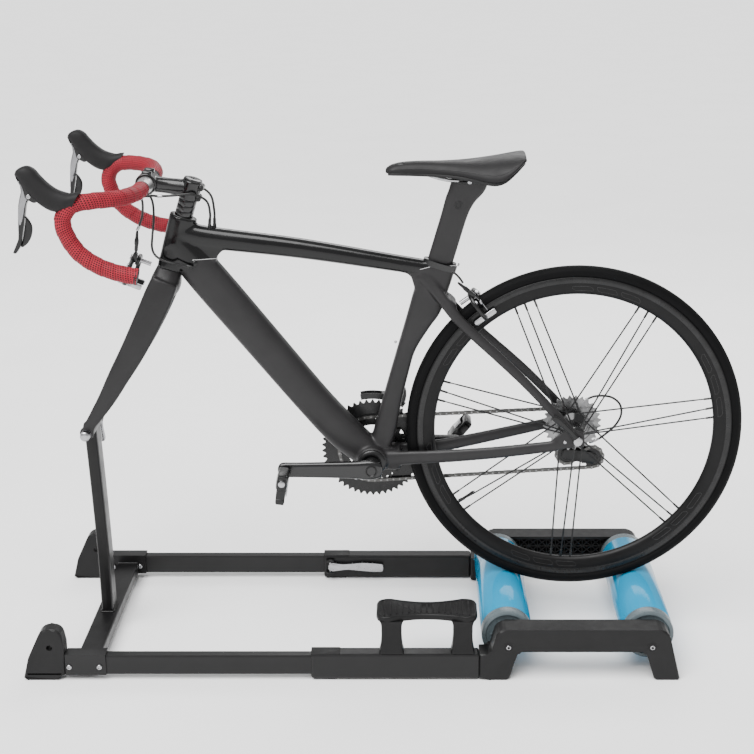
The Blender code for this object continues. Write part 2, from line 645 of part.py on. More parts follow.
def fork(name, mat):
    """Steerer, crown and two blades as one moulding, with slotted tips over the skewer."""
    crown_top = HEAD_POINT + HEAD_UP * (HEAD_LOW - 0.0006)
    stations = []
    for s, depth, width in ((0, 0.0225, 0.0215), (-0.012, 0.0265, 0.0330), (-0.032, 0.0320, 0.0430),
                            (-0.045, 0.0310, 0.0440)):
        point = crown_top + HEAD_UP * s
        stations.append((point.x, point.z, depth, width))
    body = frame_tube(name, stations, mat, sides=12, power=2.8)
    top = HEAD_POINT + HEAD_UP * 0.0850
    join(body, sweep("steerer", [crown_top - HEAD_UP * 0.01, top], STEERER_RADIUS, mat, 16))
    for _, side in SIDES:
        path = curve_through([(-0.4370, side * 0.0320, 0.7230), (-0.4640, side * 0.0400, 0.6650),
                              (-0.4950, side * 0.0460, 0.6050), (-0.5520, side * 0.0515, 0.5060),
                              (-0.5880, side * 0.0535, 0.4520)], 2)
        blade = []
        for i, p in enumerate(path):
            t = i / (len(path) - 1)
            blade.append((p.x, p.z, mix(0.0275, 0.0110, t ** 1.1), mix(0.0115, 0.0040, t), p.y))
        join(body, frame_tube("blade", blade, mat, sides=10))
        y0, y1 = sorted((side * 0.0500, side * 0.0575))
        x, z = FORK_AXLE.x, FORK_AXLE.z
        tip = rounded([(x - 0.011, z - 0.010, 0.002)] + slot_outline(x, z, 0.0050, 0.011)
                      + [(x + 0.013, z - 0.008, 0.002), (x + 0.022, z + 0.020, 0.004), (x - 0.004, z + 0.022, 0.004)])
        join(body, plate("tip", tip, y0, y1, mat))
    return body


def stem(name, mat):
    """The stem over its spacers: a clamp on the steerer, an arm, and a clamp round the bar."""
    axis_at = HEAD_POINT + HEAD_UP * 0.0660
    spacers = sweep(name, [HEAD_POINT + HEAD_UP * 0.0005, HEAD_POINT + HEAD_UP * 0.0450], 0.0175, mat, 20)
    collar = sweep("collar", [HEAD_POINT + HEAD_UP * 0.0445, HEAD_POINT + HEAD_UP * 0.0850], 0.0195, mat, 20)
    cap = sweep("cap", [HEAD_POINT + HEAD_UP * 0.0845, HEAD_POINT + HEAD_UP * 0.0905], 0.0180, mat, 20)
    arm = loft("arm", [oval(mix(axis_at, BAR_CENTRE, t), UP, SIDEWAYS, a, b, 12)
                       for t, a, b in ((0.05, 0.0165, 0.0165), (0.5, 0.0150, 0.0150), (0.95, 0.0170, 0.0200))], mat)
    clamp = cylinder_y("clamp", (BAR_CENTRE.x, BAR_CENTRE.z), 0.0205, -0.0210, 0.0210, mat, 24)
    join(spacers, collar, arm, clamp, cap)
    hollow = sweep("hollow", [HEAD_POINT - HEAD_UP * 0.05, HEAD_POINT + HEAD_UP * 0.0853], STEERER_RADIUS + GAP,
                   mat, 20)
    boolean(spacers, hollow)
    return boolean(spacers, cylinder_y("bore", (BAR_CENTRE.x, BAR_CENTRE.z), 0.0159 + GAP, -1, 1, mat, 24))


def bar_route(side):
    """The handlebar's centre line from the stem to the end of one drop."""
    x, z = BAR_CENTRE.x, BAR_CENTRE.z
    w = BAR_HALF_WIDTH
    points = [(x, 0, z), (x, 0.030, z), (x, 0.060, z), (x - 0.010, 0.115, z + 0.001), (x - 0.038, 0.170, z + 0.003),
              (x - 0.080, 0.200, z + 0.004), (x - 0.112, w - 0.002, z - 0.002), (x - 0.129, w, z - 0.024),
              (x - 0.126, w, z - 0.052), (x - 0.106, w, z - 0.086), (x - 0.076, w, z - 0.109),
              (x - 0.042, w, z - 0.123), (x - 0.002, w, z - 0.132)]
    return curve_through([(px, side * py, pz) for px, py, pz in points], 2)


def bar_frames():
    """Every point of the whole bar's centre line with its two cross directions."""
    path = bar_route(LEFT)[::-1] + bar_route(RIGHT)[1:]
    return list(zip(path, path_frames(path)))


def handlebar(name, mat):
    rings = []
    for point, (u, v) in bar_frames():
        bulge = max(0.0, 1 - max(0.0, abs(point.y) - 0.030) / 0.030)
        radius = mix(BAR_RADIUS, 0.0159, bulge)
        rings.append(oval(point, u, v, radius, radius, 8))
    return loft(name, rings, mat)


def bar_tape(name, side, mat):
    """The padded wrap, a hollow sleeve from near the stem to the end of the drop."""
    stretch = [(p, u, v) for p, (u, v) in bar_frames() if side * p.y > 0.062]
    outer = [oval(p, u, v, TAPE_RADIUS, TAPE_RADIUS, 8) for p, u, v in stretch]
    inner = [oval(p, u, v, BAR_RADIUS + GAP, BAR_RADIUS + GAP, 8) for p, u, v in stretch]
    return loft(name, outer + inner[::-1], mat, loop=True)


def hood_rings(side, grow=0.0):
    """Rings of the lever hood, from the bar to the horn's tip."""
    y = side * BAR_HALF_WIDTH
    spine = ((-0.5560, 0.9330, 0.0200, 0.0150, 55), (-0.5720, 0.9300, 0.0210, 0.0170, 50),
             (-0.5900, 0.9365, 0.0205, 0.0170, 60), (-0.6080, 0.9500, 0.0200, 0.0165, 52),
             (-0.6220, 0.9660, 0.0190, 0.0160, 42), (-0.6320, 0.9800, 0.0180, 0.0155, 30),
             (-0.6385, 0.9880, 0.0140, 0.0130, 24), (-0.6410, 0.9915, 0.0070, 0.0070, 24))
    rings = []
    for x, z, high, wide, tilt in spine:
        u = Vector((math.cos(math.radians(tilt)), 0, math.sin(math.radians(tilt))))
        rings.append(oval(Vector((x, y, z)), u, SIDEWAYS, high + grow, wide + grow, 12, 2.3))
    return rings


def brake_hood(name, side, mat):
    """The rubber hood with the lever's body inside, hollowed for the wrapped bar and slotted for the lever."""
    hood = loft(name, hood_rings(side), mat)
    radius = TAPE_RADIUS + GAP
    clear = [oval(p, u, v, radius, radius, 8) for p, (u, v) in bar_frames() if side * p.y > 0.15]
    boolean(hood, loft("clear", clear, mat))
    slot = rounded([(-0.7000, 0.9200, 0), (-0.6160, 0.9200, 0), (-0.6160, 0.9520, 0.004), (-0.6262, 0.9610, 0),
                    (-0.6430, 0.9845, 0), (-0.7000, 0.9845, 0)])
    y0, y1 = sorted((side * (BAR_HALF_WIDTH - LEVER_HALF - 0.0007), side * (BAR_HALF_WIDTH + LEVER_HALF + 0.0007)))
    return boolean(hood, plate("slot", slot, y0, y1, mat))


LEVER_PIVOT = (-0.6294, 0.9427)
LEVER_HALF = 0.0055                       # half the lever's width along Y
PADDLE_PIVOT = (-0.6400, 0.9060)


def brake_lever(name, side, mat):
    """The brake blade: from the hood's nose past its pivot, then down in front of the drop."""
    y = side * BAR_HALF_WIDTH
    outline = rounded([(-0.6530, 0.9830, 0.001), (-0.6494, 0.9723, 0), (-0.6440, 0.9617, 0.006),
                       (-0.6430, 0.9510, 0.008), (-0.6494, 0.9259, 0.02), (-0.6525, 0.8826, 0.03),
                       (-0.6541, 0.8644, 0.02), (-0.6670, 0.8378, 0.002), (-0.6597, 0.8389, 0.002),
                       (-0.6514, 0.8535, 0.02), (-0.6440, 0.8898, 0.04), (-0.6364, 0.9259, 0.02),
                       (-0.6321, 0.9350, 0.004), (-0.6220, 0.9385, 0.004), (-0.6215, 0.9474, 0.004),
                       (-0.6285, 0.9581, 0.02), (-0.6455, 0.9820, 0.001)], 2)
    y0, y1 = sorted((y - LEVER_HALF, y + LEVER_HALF))
    return plate(name, outline, y0, y1, mat, bevel=0.0014)


def shift_paddle(name, side, mat):
    """The shift paddle behind the brake blade."""
    y = side * BAR_HALF_WIDTH
    outline = rounded([(-0.6396, 0.9045, 0.001), (-0.6321, 0.8990, 0.004), (-0.6283, 0.8862, 0.010),
                       (-0.6303, 0.8735, 0.015), (-0.6385, 0.8589, 0.02), (-0.6480, 0.8490, 0.001),
                       (-0.6500, 0.8515, 0), (-0.6453, 0.8680, 0), (-0.6426, 0.8898, 0)], 2)
    y0, y1 = sorted((y - 0.0022, y + 0.0022))
    return plate(name, outline, y0, y1, mat, bevel=0.0006)


# ---------------------------------------------------------------- brakes

FRONT_BRAKE = Vector((-0.4860, 0, 0.7800))
FRONT_BRAKE_DOWN = Vector((-0.355, 0, -0.935)).normalized()
REAR_BRAKE = Vector((0.1630, 0, 0.7080))
REAR_BRAKE_DOWN = Vector((0.586, 0, -0.810)).normalized()


def caliper_arm(name, centre, down, side, depth_offset, mat):
    """One arm of a dual-pivot caliper, arching from over the tyre down to its brake shoe."""
    front = down.cross(SIDEWAYS)
    path = [(-side * 0.010, 0.006), (side * 0.012, 0.002), (side * 0.0285, 0.012), (side * 0.0310, 0.030),
            (side * 0.0225, 0.046), (side * 0.0150, 0.050)]
    points = curve_through([centre + SIDEWAYS * y + down * d + front * depth_offset for y, d in path], 2)
    rings = []
    for i, point in enumerate(points):
        along = (points[min(i + 1, len(points) - 1)] - points[max(i - 1, 0)]).normalized()
        u = front.cross(along).normalized()
        rings.append(oval(point, u, front, 0.0062, 0.0042, 8, 3))
    return loft(name, rings, mat)


# ---------------------------------------------------------------- saddle

def seatpost(name, mat):
    """The aero post: a constant section in the tube, flaring back to the rail clamp."""
    rings = [seatpost_section(z) for z in (0.6950, 0.8000, 0.8700)]
    for x, z, a, b in ((0.1435, 0.9000, 0.0300, 0.0105), (0.1520, 0.9200, 0.0350, 0.0130),
                       (0.1530, 0.9285, 0.0330, 0.0150)):
        back = Vector((1, 0, -0.06)).normalized()
        rings.append(oval(Vector((x, 0, z)), back, SIDEWAYS, a, b, 16, 2.5))
    post = loft(name, rings, mat)
    join(post, box("clamp", (0.1330, -0.0270, 0.9270), (0.1760, 0.0270, 0.9410), mat, bevel=0.003))
    return boolean(post, saddle_rails("clear", mat, GAP))


def saddle_shell(name, mat):
    """The saddle's padded shell: a thin crowned form with drooping sides."""
    rings = []
    sections = ((-0.0050, 0.9500, 0.0090, 0.0030, 0.0040), (0.0030, 0.9590, 0.0165, 0.0080, 0.0080),
                (0.0250, 0.9670, 0.0200, 0.0170, 0.0100), (0.0700, 0.9690, 0.0230, 0.0200, 0.0110),
                (0.1200, 0.9700, 0.0330, 0.0220, 0.0110), (0.1650, 0.9730, 0.0520, 0.0300, 0.0110),
                (0.2050, 0.9790, 0.0680, 0.0440, 0.0100), (0.2350, 0.9840, 0.0680, 0.0300, 0.0090),
                (0.2560, 0.9860, 0.0560, 0.0130, 0.0070), (0.2600, 0.9830, 0.0480, 0.0070, 0.0040))
    steps = 6
    for x, top, half, droop, thick in sections:
        upper = []
        lower = []
        for i in range(steps + 1):
            t = -1 + 2 * i / steps
            angle = t * math.pi / 2
            y = half * math.sin(angle)
            fall = 1 - math.cos(angle)
            upper.append(Vector((x, y, top - droop * fall)))
            lower.append(Vector((x + 0.001, y * 0.86, top - droop * 0.96 * fall - thick)))
        rings.append(upper + lower[::-1])
    return loft(name, rings, mat)


def saddle_rails(name, mat, grow=0.0):
    """Both steel rails, joined across the front; their ends are set in the shell."""
    points = []
    for side in (LEFT, RIGHT):
        run = [(0.0400, side * 0.0080, 0.9620), (0.0600, side * 0.0140, 0.9520), (0.1000, side * 0.0215, 0.9380),
               (0.1300, side * 0.0220, 0.9345), (0.1800, side * 0.0220, 0.9345), (0.2150, side * 0.0260, 0.9700)]
        points.append(curve_through(run, 3))
    path = points[0][::-1] + points[1]
    return sweep(name, path, RAIL_WIRE + grow, mat, 8)


def saddle(name, mat):
    return join(saddle_shell(name, mat), saddle_rails("rails", mat))


# ---------------------------------------------------------------- cranks and chain

def crank_arm(name, side, direction, mat):
    """A crank arm along X from the bottom bracket; direction is -1 forward or +1 rearward."""
    y = side * 0.0790
    cx, cz = BOTTOM_BRACKET.x, BOTTOM_BRACKET.z
    rings = []
    for reach, high, wide in ((-0.0210, 0.0080, 0.0060), (-0.0140, 0.0155, 0.0085), (0.0, 0.0185, 0.0090),
                              (0.0300, 0.0170, 0.0080), (0.1000, 0.0140, 0.0070), (0.1560, 0.0130, 0.0070),
                              (0.1740, 0.0130, 0.0070), (0.1820, 0.0085, 0.0050)):
        centre = Vector((cx + direction * reach, y, cz))
        rings.append(oval(centre, UP, SIDEWAYS, high, wide, 12, 3))
    arm = loft(name, rings, mat)
    bore = cylinder_y("bore", (cx + direction * CRANK_LENGTH, cz), 0.0045 + GAP, -1, 1, mat, 12)
    return boolean(arm, bore)


def crank_right(name, mat):
    """The right arm with the spindle and the four-armed spider."""
    arm = crank_arm(name, RIGHT, 1, mat)
    centre = (BOTTOM_BRACKET.x, BOTTOM_BRACKET.z)
    join(arm, cylinder_y("spindle", centre, SPINDLE_RADIUS, -0.0870, 0.0800, mat, 24))
    spider = turned("spider", [(0, 0.0465), (0.0600, 0.0465), (0.0600, 0.0500), (0.0300, 0.0560), (0.0200, 0.0760),
                               (0, 0.0760)], mat, centre, 16)
    return join(arm, spider)


def crank_left(name, mat):
    arm = crank_arm(name, LEFT, -1, mat)
    centre = (BOTTOM_BRACKET.x, BOTTOM_BRACKET.z)
    return boolean(arm, cylinder_y("bore", centre, SPINDLE_RADIUS + GAP, -1, 1, mat, 24))


def pitch_radius(teeth):
    return CHAIN_PITCH * teeth / (2 * math.pi)


def chainrings(name, mat):
    """Both rings, bolted together; the small one ends at the tooth roots that the chain rests on."""
    centre = (BOTTOM_BRACKET.x, BOTTOM_BRACKET.z)
    rings = []
    for teeth, y, root in zip(RING_TEETH, RING_Y, (0.0010, 0.0050)):
        r = pitch_radius(teeth) - root
        profile = [(RING_BORE, y - 0.0012), (r, y - 0.0012), (r, y + 0.0012), (RING_BORE, y + 0.0012)]
        rings.append(turned(name, profile, mat, centre, 32, ring=True))
    for arm in range(4):
        angle = math.radians(45 + 90 * arm)
        place = (centre[0] + RING_BOLTS * math.cos(angle), centre[1] + RING_BOLTS * math.sin(angle))
        rings.append(cylinder_y("bolt", place, 0.0045, RING_Y[1], RING_Y[0], mat, 6))
    return join(*rings)


def pedal(name, side, direction, tilt, mat):
    """A road pedal with its spindle; tilt turns its body about the spindle."""
    cx = BOTTOM_BRACKET.x + direction * CRANK_LENGTH
    cz = BOTTOM_BRACKET.z
    profile = [(0, side * 0.0710), (0.0045, side * 0.0710), (0.0045, side * 0.0880), (0.0080, side * 0.0880),
               (0.0080, side * 0.0920), (0.0050, side * 0.0930), (0.0050, side * 0.1100), (0, side * 0.1100)]
    spindle = turned(name, profile, mat, (cx, cz), 12)
    long_way = Vector((math.cos(tilt), 0, math.sin(tilt)))
    thick_way = Vector((-math.sin(tilt), 0, math.cos(tilt)))
    rings = []
    for y, a, b in ((0.0990, 0.0160, 0.0080), (0.1040, 0.0270, 0.0105), (0.1250, 0.0300, 0.0115),
                    (0.1500, 0.0280, 0.0110), (0.1560, 0.0200, 0.0080)):
        centre = Vector((cx, side * y, cz)) + long_way * 0.014
        rings.append(oval(centre, long_way, thick_way, a, b, 12, 3))
    return join(spindle, loft("body", rings, mat))


def chain_circles():
    """Centre, pitch radius and turning sense of what the chain runs round, in its order."""
    return ((BOTTOM_BRACKET.x, BOTTOM_BRACKET.z, pitch_radius(RING_TEETH[1]), 1),
            (WHEEL_X, WHEEL_Z, pitch_radius(COG_TEETH), 1),
            (*GUIDE_PULLEY, pitch_radius(PULLEY_TEETH), -1),
            (*TENSION_PULLEY, pitch_radius(PULLEY_TEETH), 1))


def chain_route(arc_step=math.radians(14)):
    """The closed centre line of the chain, as points with a unit normal in X and Z."""
    circles = chain_circles()
    count = len(circles)
    heading = []
    for i in range(count):
        x1, z1, r1, s1 = circles[i]
        x2, z2, r2, s2 = circles[(i + 1) % count]
        span = math.hypot(x2 - x1, z2 - z1)
        heading.append(math.atan2(z2 - z1, x2 - x1) - math.asin((s1 * r1 - s2 * r2) / span))
    route = []
    for i in range(count):
        x, z, r, sense = circles[i]
        start, end = heading[i - 1], heading[i]
        turn = (start - end) * sense % (2 * math.pi)
        steps = max(2, round(turn / arc_step))
        for k in range(steps + 1):
            angle = start - sense * turn * k / steps
            nx, nz = -math.sin(angle), math.cos(angle)
            route.append((x + sense * r * nx, z + sense * r * nz, nx, nz))
    return route


def chain_y(x):
    """The chain runs out from the small ring to its cog."""
    t = (x - BOTTOM_BRACKET.x) / (WHEEL_X - BOTTOM_BRACKET.x)
    return mix(RING_Y[1], COG_Y, max(0, min(1, t)))


def chain(name, mat):
    rings = []
    for x, z, nx, nz in chain_route():
        y = chain_y(x)
        ring = []
        for side, lift in ((-1, -1), (1, -1), (1, 1), (-1, 1)):
            off = lift * CHAIN_HALF_THICK
            ring.append(Vector((x + nx * off, y + side * 0.0026, z + nz * off)))
        rings.append(ring)
    return loft(name, rings, mat, loop=True)


def cassette(name, mat):
    """The sprocket stack as one stepped cone; the chain's sprocket is cut to its tooth roots."""
    profile = [(0.0175, 0.0300), (0.0540, 0.0300)]
    for y, radius in ((0.0340, 0.0480), (0.0390, 0.0380), (0.0440, 0.0214)):
        profile.append((profile[-1][0], y))
        profile.append((radius, y))
    profile.append((0.0214, 0.0570))
    profile.append((0.0175, 0.0570))
    return turned(name, profile, mat, (WHEEL_X, WHEEL_Z), 24, ring=True)


def pulley(name, place, mat):
    r = pitch_radius(PULLEY_TEETH) - 0.0042
    y = COG_Y
    return turned(name, [(0.0033, y - 0.0030), (0.0070, y - 0.0030), (r, y - 0.0012),
                         (r, y + 0.0012), (0.0070, y + 0.0030), (0.0033, y + 0.0030)],
                  mat, place, 18, ring=True)


def rear_derailleur(name, mat):
    """Hanger knuckle, link body and the cage's outer plate with its two pulley pins."""
    (gx, gz), (tx, tz) = GUIDE_PULLEY, TENSION_PULLEY
    y = COG_Y
    cage = rounded([(gx - 0.014, gz - 0.010, 0.008), (tx + 0.004, tz - 0.014, 0.008), (tx + 0.014, tz + 0.002, 0.008),
                    (tx - 0.004, tz + 0.012, 0.008), (gx - 0.006, gz + 0.012, 0.008)])
    body = plate(name, cage, y + 0.0042, y + 0.0062, mat)
    for place in (GUIDE_PULLEY, TENSION_PULLEY):
        join(body, cylinder_y("pin", place, 0.0030, y - 0.0040, y + 0.0050, mat, 10))
    join(body, cylinder_y("knuckle", (gx + 0.030, gz + 0.004), 0.0150, y + 0.0050, y + 0.0270, mat, 20))
    arm = rounded([(gx + 0.018, gz + 0.004, 0.004), (gx + 0.042, gz + 0.006, 0.006), (WHEEL_X + 0.018, 0.4060, 0.006),
                   (WHEEL_X + 0.002, 0.4040, 0.006)])
    join(body, plate("arm", arm, y + 0.0120, y + 0.0250, mat, 0.002))
    hanger = rounded([(WHEEL_X - 0.004, 0.3960, 0.006), (WHEEL_X + 0.022, 0.3960, 0.006),
                      (WHEEL_X + 0.020, WHEEL_Z - 0.0205, 0.002), (WHEEL_X + 0.004, WHEEL_Z - 0.0205, 0.002)])
    join(body, plate("hanger", hanger, DROPOUT_HALF, DROPOUT_HALF + 0.005, mat))
    return body


def front_derailleur(name, mat):
    """The cage plates over the rings, with the link that hangs them on the seat tube."""
    cx, cz = BOTTOM_BRACKET.x, BOTTOM_BRACKET.z
    arcs = []
    for radius, order in ((0.1085, 1), (0.1240, -1)):
        arc = []
        for k in range(7):
            angle = math.radians(mix(98, 58, k / 6))
            arc.append((cx + radius * math.cos(angle), cz + radius * math.sin(angle)))
        arcs.extend(arc[::order])
    body = plate(name, arcs, 0.0335, 0.0350, mat)
    join(body, plate("outer", arcs, 0.0520, 0.0535, mat))
    bridge = box("bridge", (cx + 0.018, 0.0338, cz + 0.1150), (cx + 0.046, 0.0532, cz + 0.1195), mat)
    join(body, bridge)
    link = plate("link", rounded([(0.0140, 0.4660, 0.004), (0.0300, 0.4660, 0.004), (0.0380, 0.5100, 0.006),
                                  (0.0100, 0.5100, 0.006)]), 0.0100, 0.0345, mat)
    join(body, link)
    boolean(body, seat_tube_solid("clear", mat, GAP))
    return body


# ---------------------------------------------------------------- rear wheel

def tyre(name, mat):
    centre_r = TYRE_RADIUS - TYRE_HALF_WIDTH
    profile = []
    count = 8
    for i in range(count):
        angle = math.radians(mix(-140, 140, i / (count - 1)))
        profile.append((centre_r + TYRE_HALF_WIDTH * math.cos(angle), TYRE_HALF_WIDTH * math.sin(angle)))
    profile[0] = (RIM_OUTER + GAP, profile[0][1])
    profile[-1] = (RIM_OUTER + GAP, profile[-1][1])
    return turned(name, profile, mat, (WHEEL_X, WHEEL_Z), WHEEL_STEPS, ring=True)


def rim(name, mat):
    profile = [(RIM_INNER, -0.0045), (0.2950, -0.0105), (RIM_OUTER, -0.0105),
               (RIM_OUTER, 0.0105), (0.2950, 0.0105), (RIM_INNER, 0.0045)]
    return turned(name, profile, mat, (WHEEL_X, WHEEL_Z), WHEEL_STEPS, ring=True)


def spoke_ends():
    """Hub end and rim end of every spoke, as points round the wheel's centre."""
    ends = []
    reach = RIM_INNER * math.cos(math.pi / WHEEL_STEPS) - 2 * GAP
    for group in range(SPOKE_GROUPS):
        middle = FIRST_GROUP + 2 * math.pi * group / SPOKE_GROUPS
        out = Vector((math.cos(middle), 0, math.sin(middle)))
        across = Vector((-math.sin(middle), 0, math.cos(middle)))
        ends.append((out * 0.012 + SIDEWAYS * FLANGE_LEFT[1], out * reach))
        for sign in (-1, 1):
            hub_end = across * (sign * (FLANGE_RIGHT[0] - 0.003)) + SIDEWAYS * FLANGE_RIGHT[1]
            along = math.sqrt(reach ** 2 - SPOKE_OFFSET ** 2)
            ends.append((hub_end, out * along + across * (sign * SPOKE_OFFSET)))
    return ends


def hub_and_spokes(name, mat):
    right_r, right_y = FLANGE_RIGHT
    left_r, left_y = FLANGE_LEFT
    hole = AXLE_RADIUS + GAP
    profile = [(hole, -HUB_HALF), (0.0100, -HUB_HALF), (0.0110, left_y - 0.006), (left_r, left_y - 0.002),
               (left_r, left_y + 0.002), (0.0120, left_y + 0.006), (0.0130, right_y - 0.010),
               (right_r, right_y - 0.002), (right_r, right_y + 0.002), (0.0170, right_y + 0.003),
               (0.0170, 0.0575), (0.0100, 0.0580), (0.0100, HUB_HALF), (hole, HUB_HALF)]
    hub = turned(name, profile, mat, (WHEEL_X, WHEEL_Z), 18, ring=True)
    for inner, outer in spoke_ends():
        join(hub, sweep("spoke", [WHEEL_CENTRE + inner, WHEEL_CENTRE + outer], SPOKE_RADIUS, mat, 3))
    return hub


def rear_axle(name, mat):
    profile = [(0, -0.0810), (0.0080, -0.0810), (0.0090, -0.0790), (0.0090, -0.0712), (AXLE_RADIUS, -0.0712),
               (AXLE_RADIUS, 0.0712), (0.0085, 0.0712), (0.0085, 0.0790), (0, 0.0790)]
    return turned(name, profile, mat, (WHEEL_X, WHEEL_Z), 16)


# ---------------------------------------------------------------- cables

CABLE_RADIUS = 0.0024


def cable_routes():
    """Each brake and shift cable along the way it is held."""
    return {
        "cable_front_brake": [(-0.4700, -0.0290, 0.9080), (-0.4650, -0.0250, 0.8950), (-0.4670, -0.0200, 0.8700),
                              (-0.4740, -0.0180, 0.8480), (-0.4790, -0.0170, 0.8380)],
        "cable_shift_right": [(-0.4690, 0.0300, 0.9070), (-0.4560, 0.0310, 0.8850), (-0.4540, 0.0260, 0.8500),
                              (-0.4560, 0.0120, 0.8200), (-0.4540, -0.0080, 0.8000), (-0.4430, -0.0250, 0.7880),
                              (-0.4200, -0.0335, 0.7790), (-0.3950, -0.0325, 0.7730), (-0.3760, -0.0305, 0.7690)],
        "cable_rear_brake": [(-0.4350, -0.0300, 0.9060), (-0.4050, -0.0330, 0.9080), (-0.3700, -0.0310, 0.9100),
                             (-0.3450, -0.0200, 0.8960), (-0.3400, -0.0080, 0.8700), (-0.3420, -0.0060, 0.8480)],
        "cable_shift_left": [(-0.4350, 0.0300, 0.9060), (-0.4050, 0.0330, 0.9100), (-0.3680, 0.0310, 0.9140),
                             (-0.3420, 0.0200, 0.9000), (-0.3340, 0.0080, 0.8720), (-0.3340, 0.0060, 0.8470)],
        "cable_rear_derailleur": [(0.3960, 0.0720, 0.4640), (0.4200, 0.0760, 0.4720), (0.4500, 0.0780, 0.4700),
                                  (0.4700, 0.0780, 0.4550), (0.4740, 0.0770, 0.4320), (0.4620, 0.0760, 0.4080),
                                  (0.4350, 0.0720, 0.3850), (0.4200, 0.0680, 0.3780)],
    }


# ---------------------------------------------------------------- assembly

def pivot(name, place, parent=None):
    """An empty on a joint; everything that the joint moves is parented to it."""
    empty = bpy.data.objects.new(name, None)
    bpy.context.scene.collection.objects.link(empty)
    empty["place"] = tuple(place)
    empty.location = Vector(place)
    if parent:
        empty.parent = parent
        empty.location -= Vector(parent["place"])
    return empty


def hang(empty, *objects):
    """Put objects, modelled where they stand, on a pivot."""
    for obj in objects:
        offset = Vector(empty["place"])
        if obj.type == "CURVE":
            for point in obj.data.splines[0].points:
                point.co = (*(Vector(point.co[:3]) - offset), 1.0)
        else:
            for vert in obj.data.vertices:
                vert.co -= offset
        obj.parent = empty


def build_stand(steel, plastic, blue, silver):
    for word, side in SIDES:
        rail(f"front_rail_{word}", side, steel)
        sleeve(f"rear_sleeve_{word}", side, steel)
        front_foot(f"front_foot_{word}", side, plastic)
        roller_housing(f"roller_housing_{word}", side, plastic)
        pin = pivot(f"lock_pivot_{word}", (LOCK_PIN[0], side * LOCK_PIN[1], 0.0320))
        hang(pin, lock_lever(f"rail_lock_lever_{word}", side, silver))
    join(cross_beam("front_frame_and_post", steel), fork_post("post", steel))
    fork_skewer("fork_skewer", silver)
    cam = pivot("skewer_cam", (FORK_AXLE.x, SKEWER_CAM_Y, FORK_AXLE.z))
    hang(cam, skewer_lever("fork_skewer_lever", silver))
    side_step("side_step", plastic)
    for word, x in (("front", WHEEL_X - ROLLER_SPREAD), ("rear", WHEEL_X + ROLLER_SPREAD)):
        roller_axle(f"{word}_roller_axle", x, silver)
        spin = pivot(f"{word}_roller_spin", (x, 0, ROLLER_Z))
        hang(spin, roller(f"{word}_roller", x, blue))


def build_front(lift, black, red, alloy, grey, rubber):
    hang(lift, fork("fork", grey), stem("stem", black), handlebar("handlebar", alloy))
    for word, side in SIDES:
        hang(lift, bar_tape(f"bar_tape_{word}", side, red), brake_hood(f"brake_hood_{word}", side, rubber))
        place = (LEVER_PIVOT[0], side * BAR_HALF_WIDTH, LEVER_PIVOT[1])
        squeeze = pivot(f"brake_pivot_{word}", place, lift)
        hang(squeeze, brake_lever(f"brake_lever_{word}", side, alloy))
        click = pivot(f"shift_pivot_{word}", (PADDLE_PIVOT[0], side * BAR_HALF_WIDTH, PADDLE_PIVOT[1]), squeeze)
        hang(click, shift_paddle(f"shift_paddle_{word}", side, black))
        arm = pivot(f"front_caliper_{word}", FRONT_BRAKE, lift)
        hang(arm, caliper_arm(f"front_brake_arm_{word}", FRONT_BRAKE, FRONT_BRAKE_DOWN, side, side * 0.0046, black))
    routes = cable_routes()
    for name in ("cable_front_brake", "cable_shift_right", "cable_rear_brake", "cable_shift_left"):
        hang(lift, cord(name, curve_through(routes[name], 3), CABLE_RADIUS, rubber))


def build_frame(turn, grey, black, rubber, steel, padded):
    hang(turn, head_tube("head_tube", black), top_tube("top_tube", black), down_tube("down_tube", grey),
         seat_tube("seat_tube", grey), rear_triangle("rear_triangle", grey))
    slide = pivot("seat_slide", (0.1078, 0, 0.8), turn)
    hang(slide, seatpost("seatpost", grey), saddle("saddle", padded))
    for word, side in SIDES:
        arm = pivot(f"rear_caliper_{word}", REAR_BRAKE, turn)
        hang(arm, caliper_arm(f"rear_brake_arm_{word}", REAR_BRAKE, REAR_BRAKE_DOWN, side, side * 0.0046, black))
    hang(turn, chain("chain", steel), rear_derailleur("rear_derailleur", black),
         front_derailleur("front_derailleur", black), rear_axle("rear_axle", steel))
    for name, place in (("guide_pulley", GUIDE_PULLEY), ("tension_pulley", TENSION_PULLEY)):
        spin = pivot(f"{name}_spin", (place[0], COG_Y, place[1]), turn)
        hang(spin, pulley(name, place, black))
    hang(turn, cord("cable_rear_derailleur", curve_through(cable_routes()["cable_rear_derailleur"], 3),
                    CABLE_RADIUS, rubber))


def build_drive(turn, black, steel, tyre_rubber):
    crank = pivot("crank_spin", BOTTOM_BRACKET, turn)
    hang(crank, crank_left("crank_left", black), crank_right("crank_right", black),
         chainrings("chainrings", black))
    for word, side, direction, tilt in (("left", LEFT, -1, math.radians(-97)), ("right", RIGHT, 1, math.radians(50))):
        place = (BOTTOM_BRACKET.x + direction * CRANK_LENGTH, side * 0.125, BOTTOM_BRACKET.z)
        spin = pivot(f"pedal_spin_{word}", place, crank)
        hang(spin, pedal(f"pedal_{word}", side, direction, tilt, black))
    wheel = pivot("wheel_spin", WHEEL_CENTRE, turn)
    hang(wheel, hub_and_spokes("hub_and_spokes", black), rim("rim", black), tyre("tyre", tyre_rubber),
         cassette("cassette", steel))


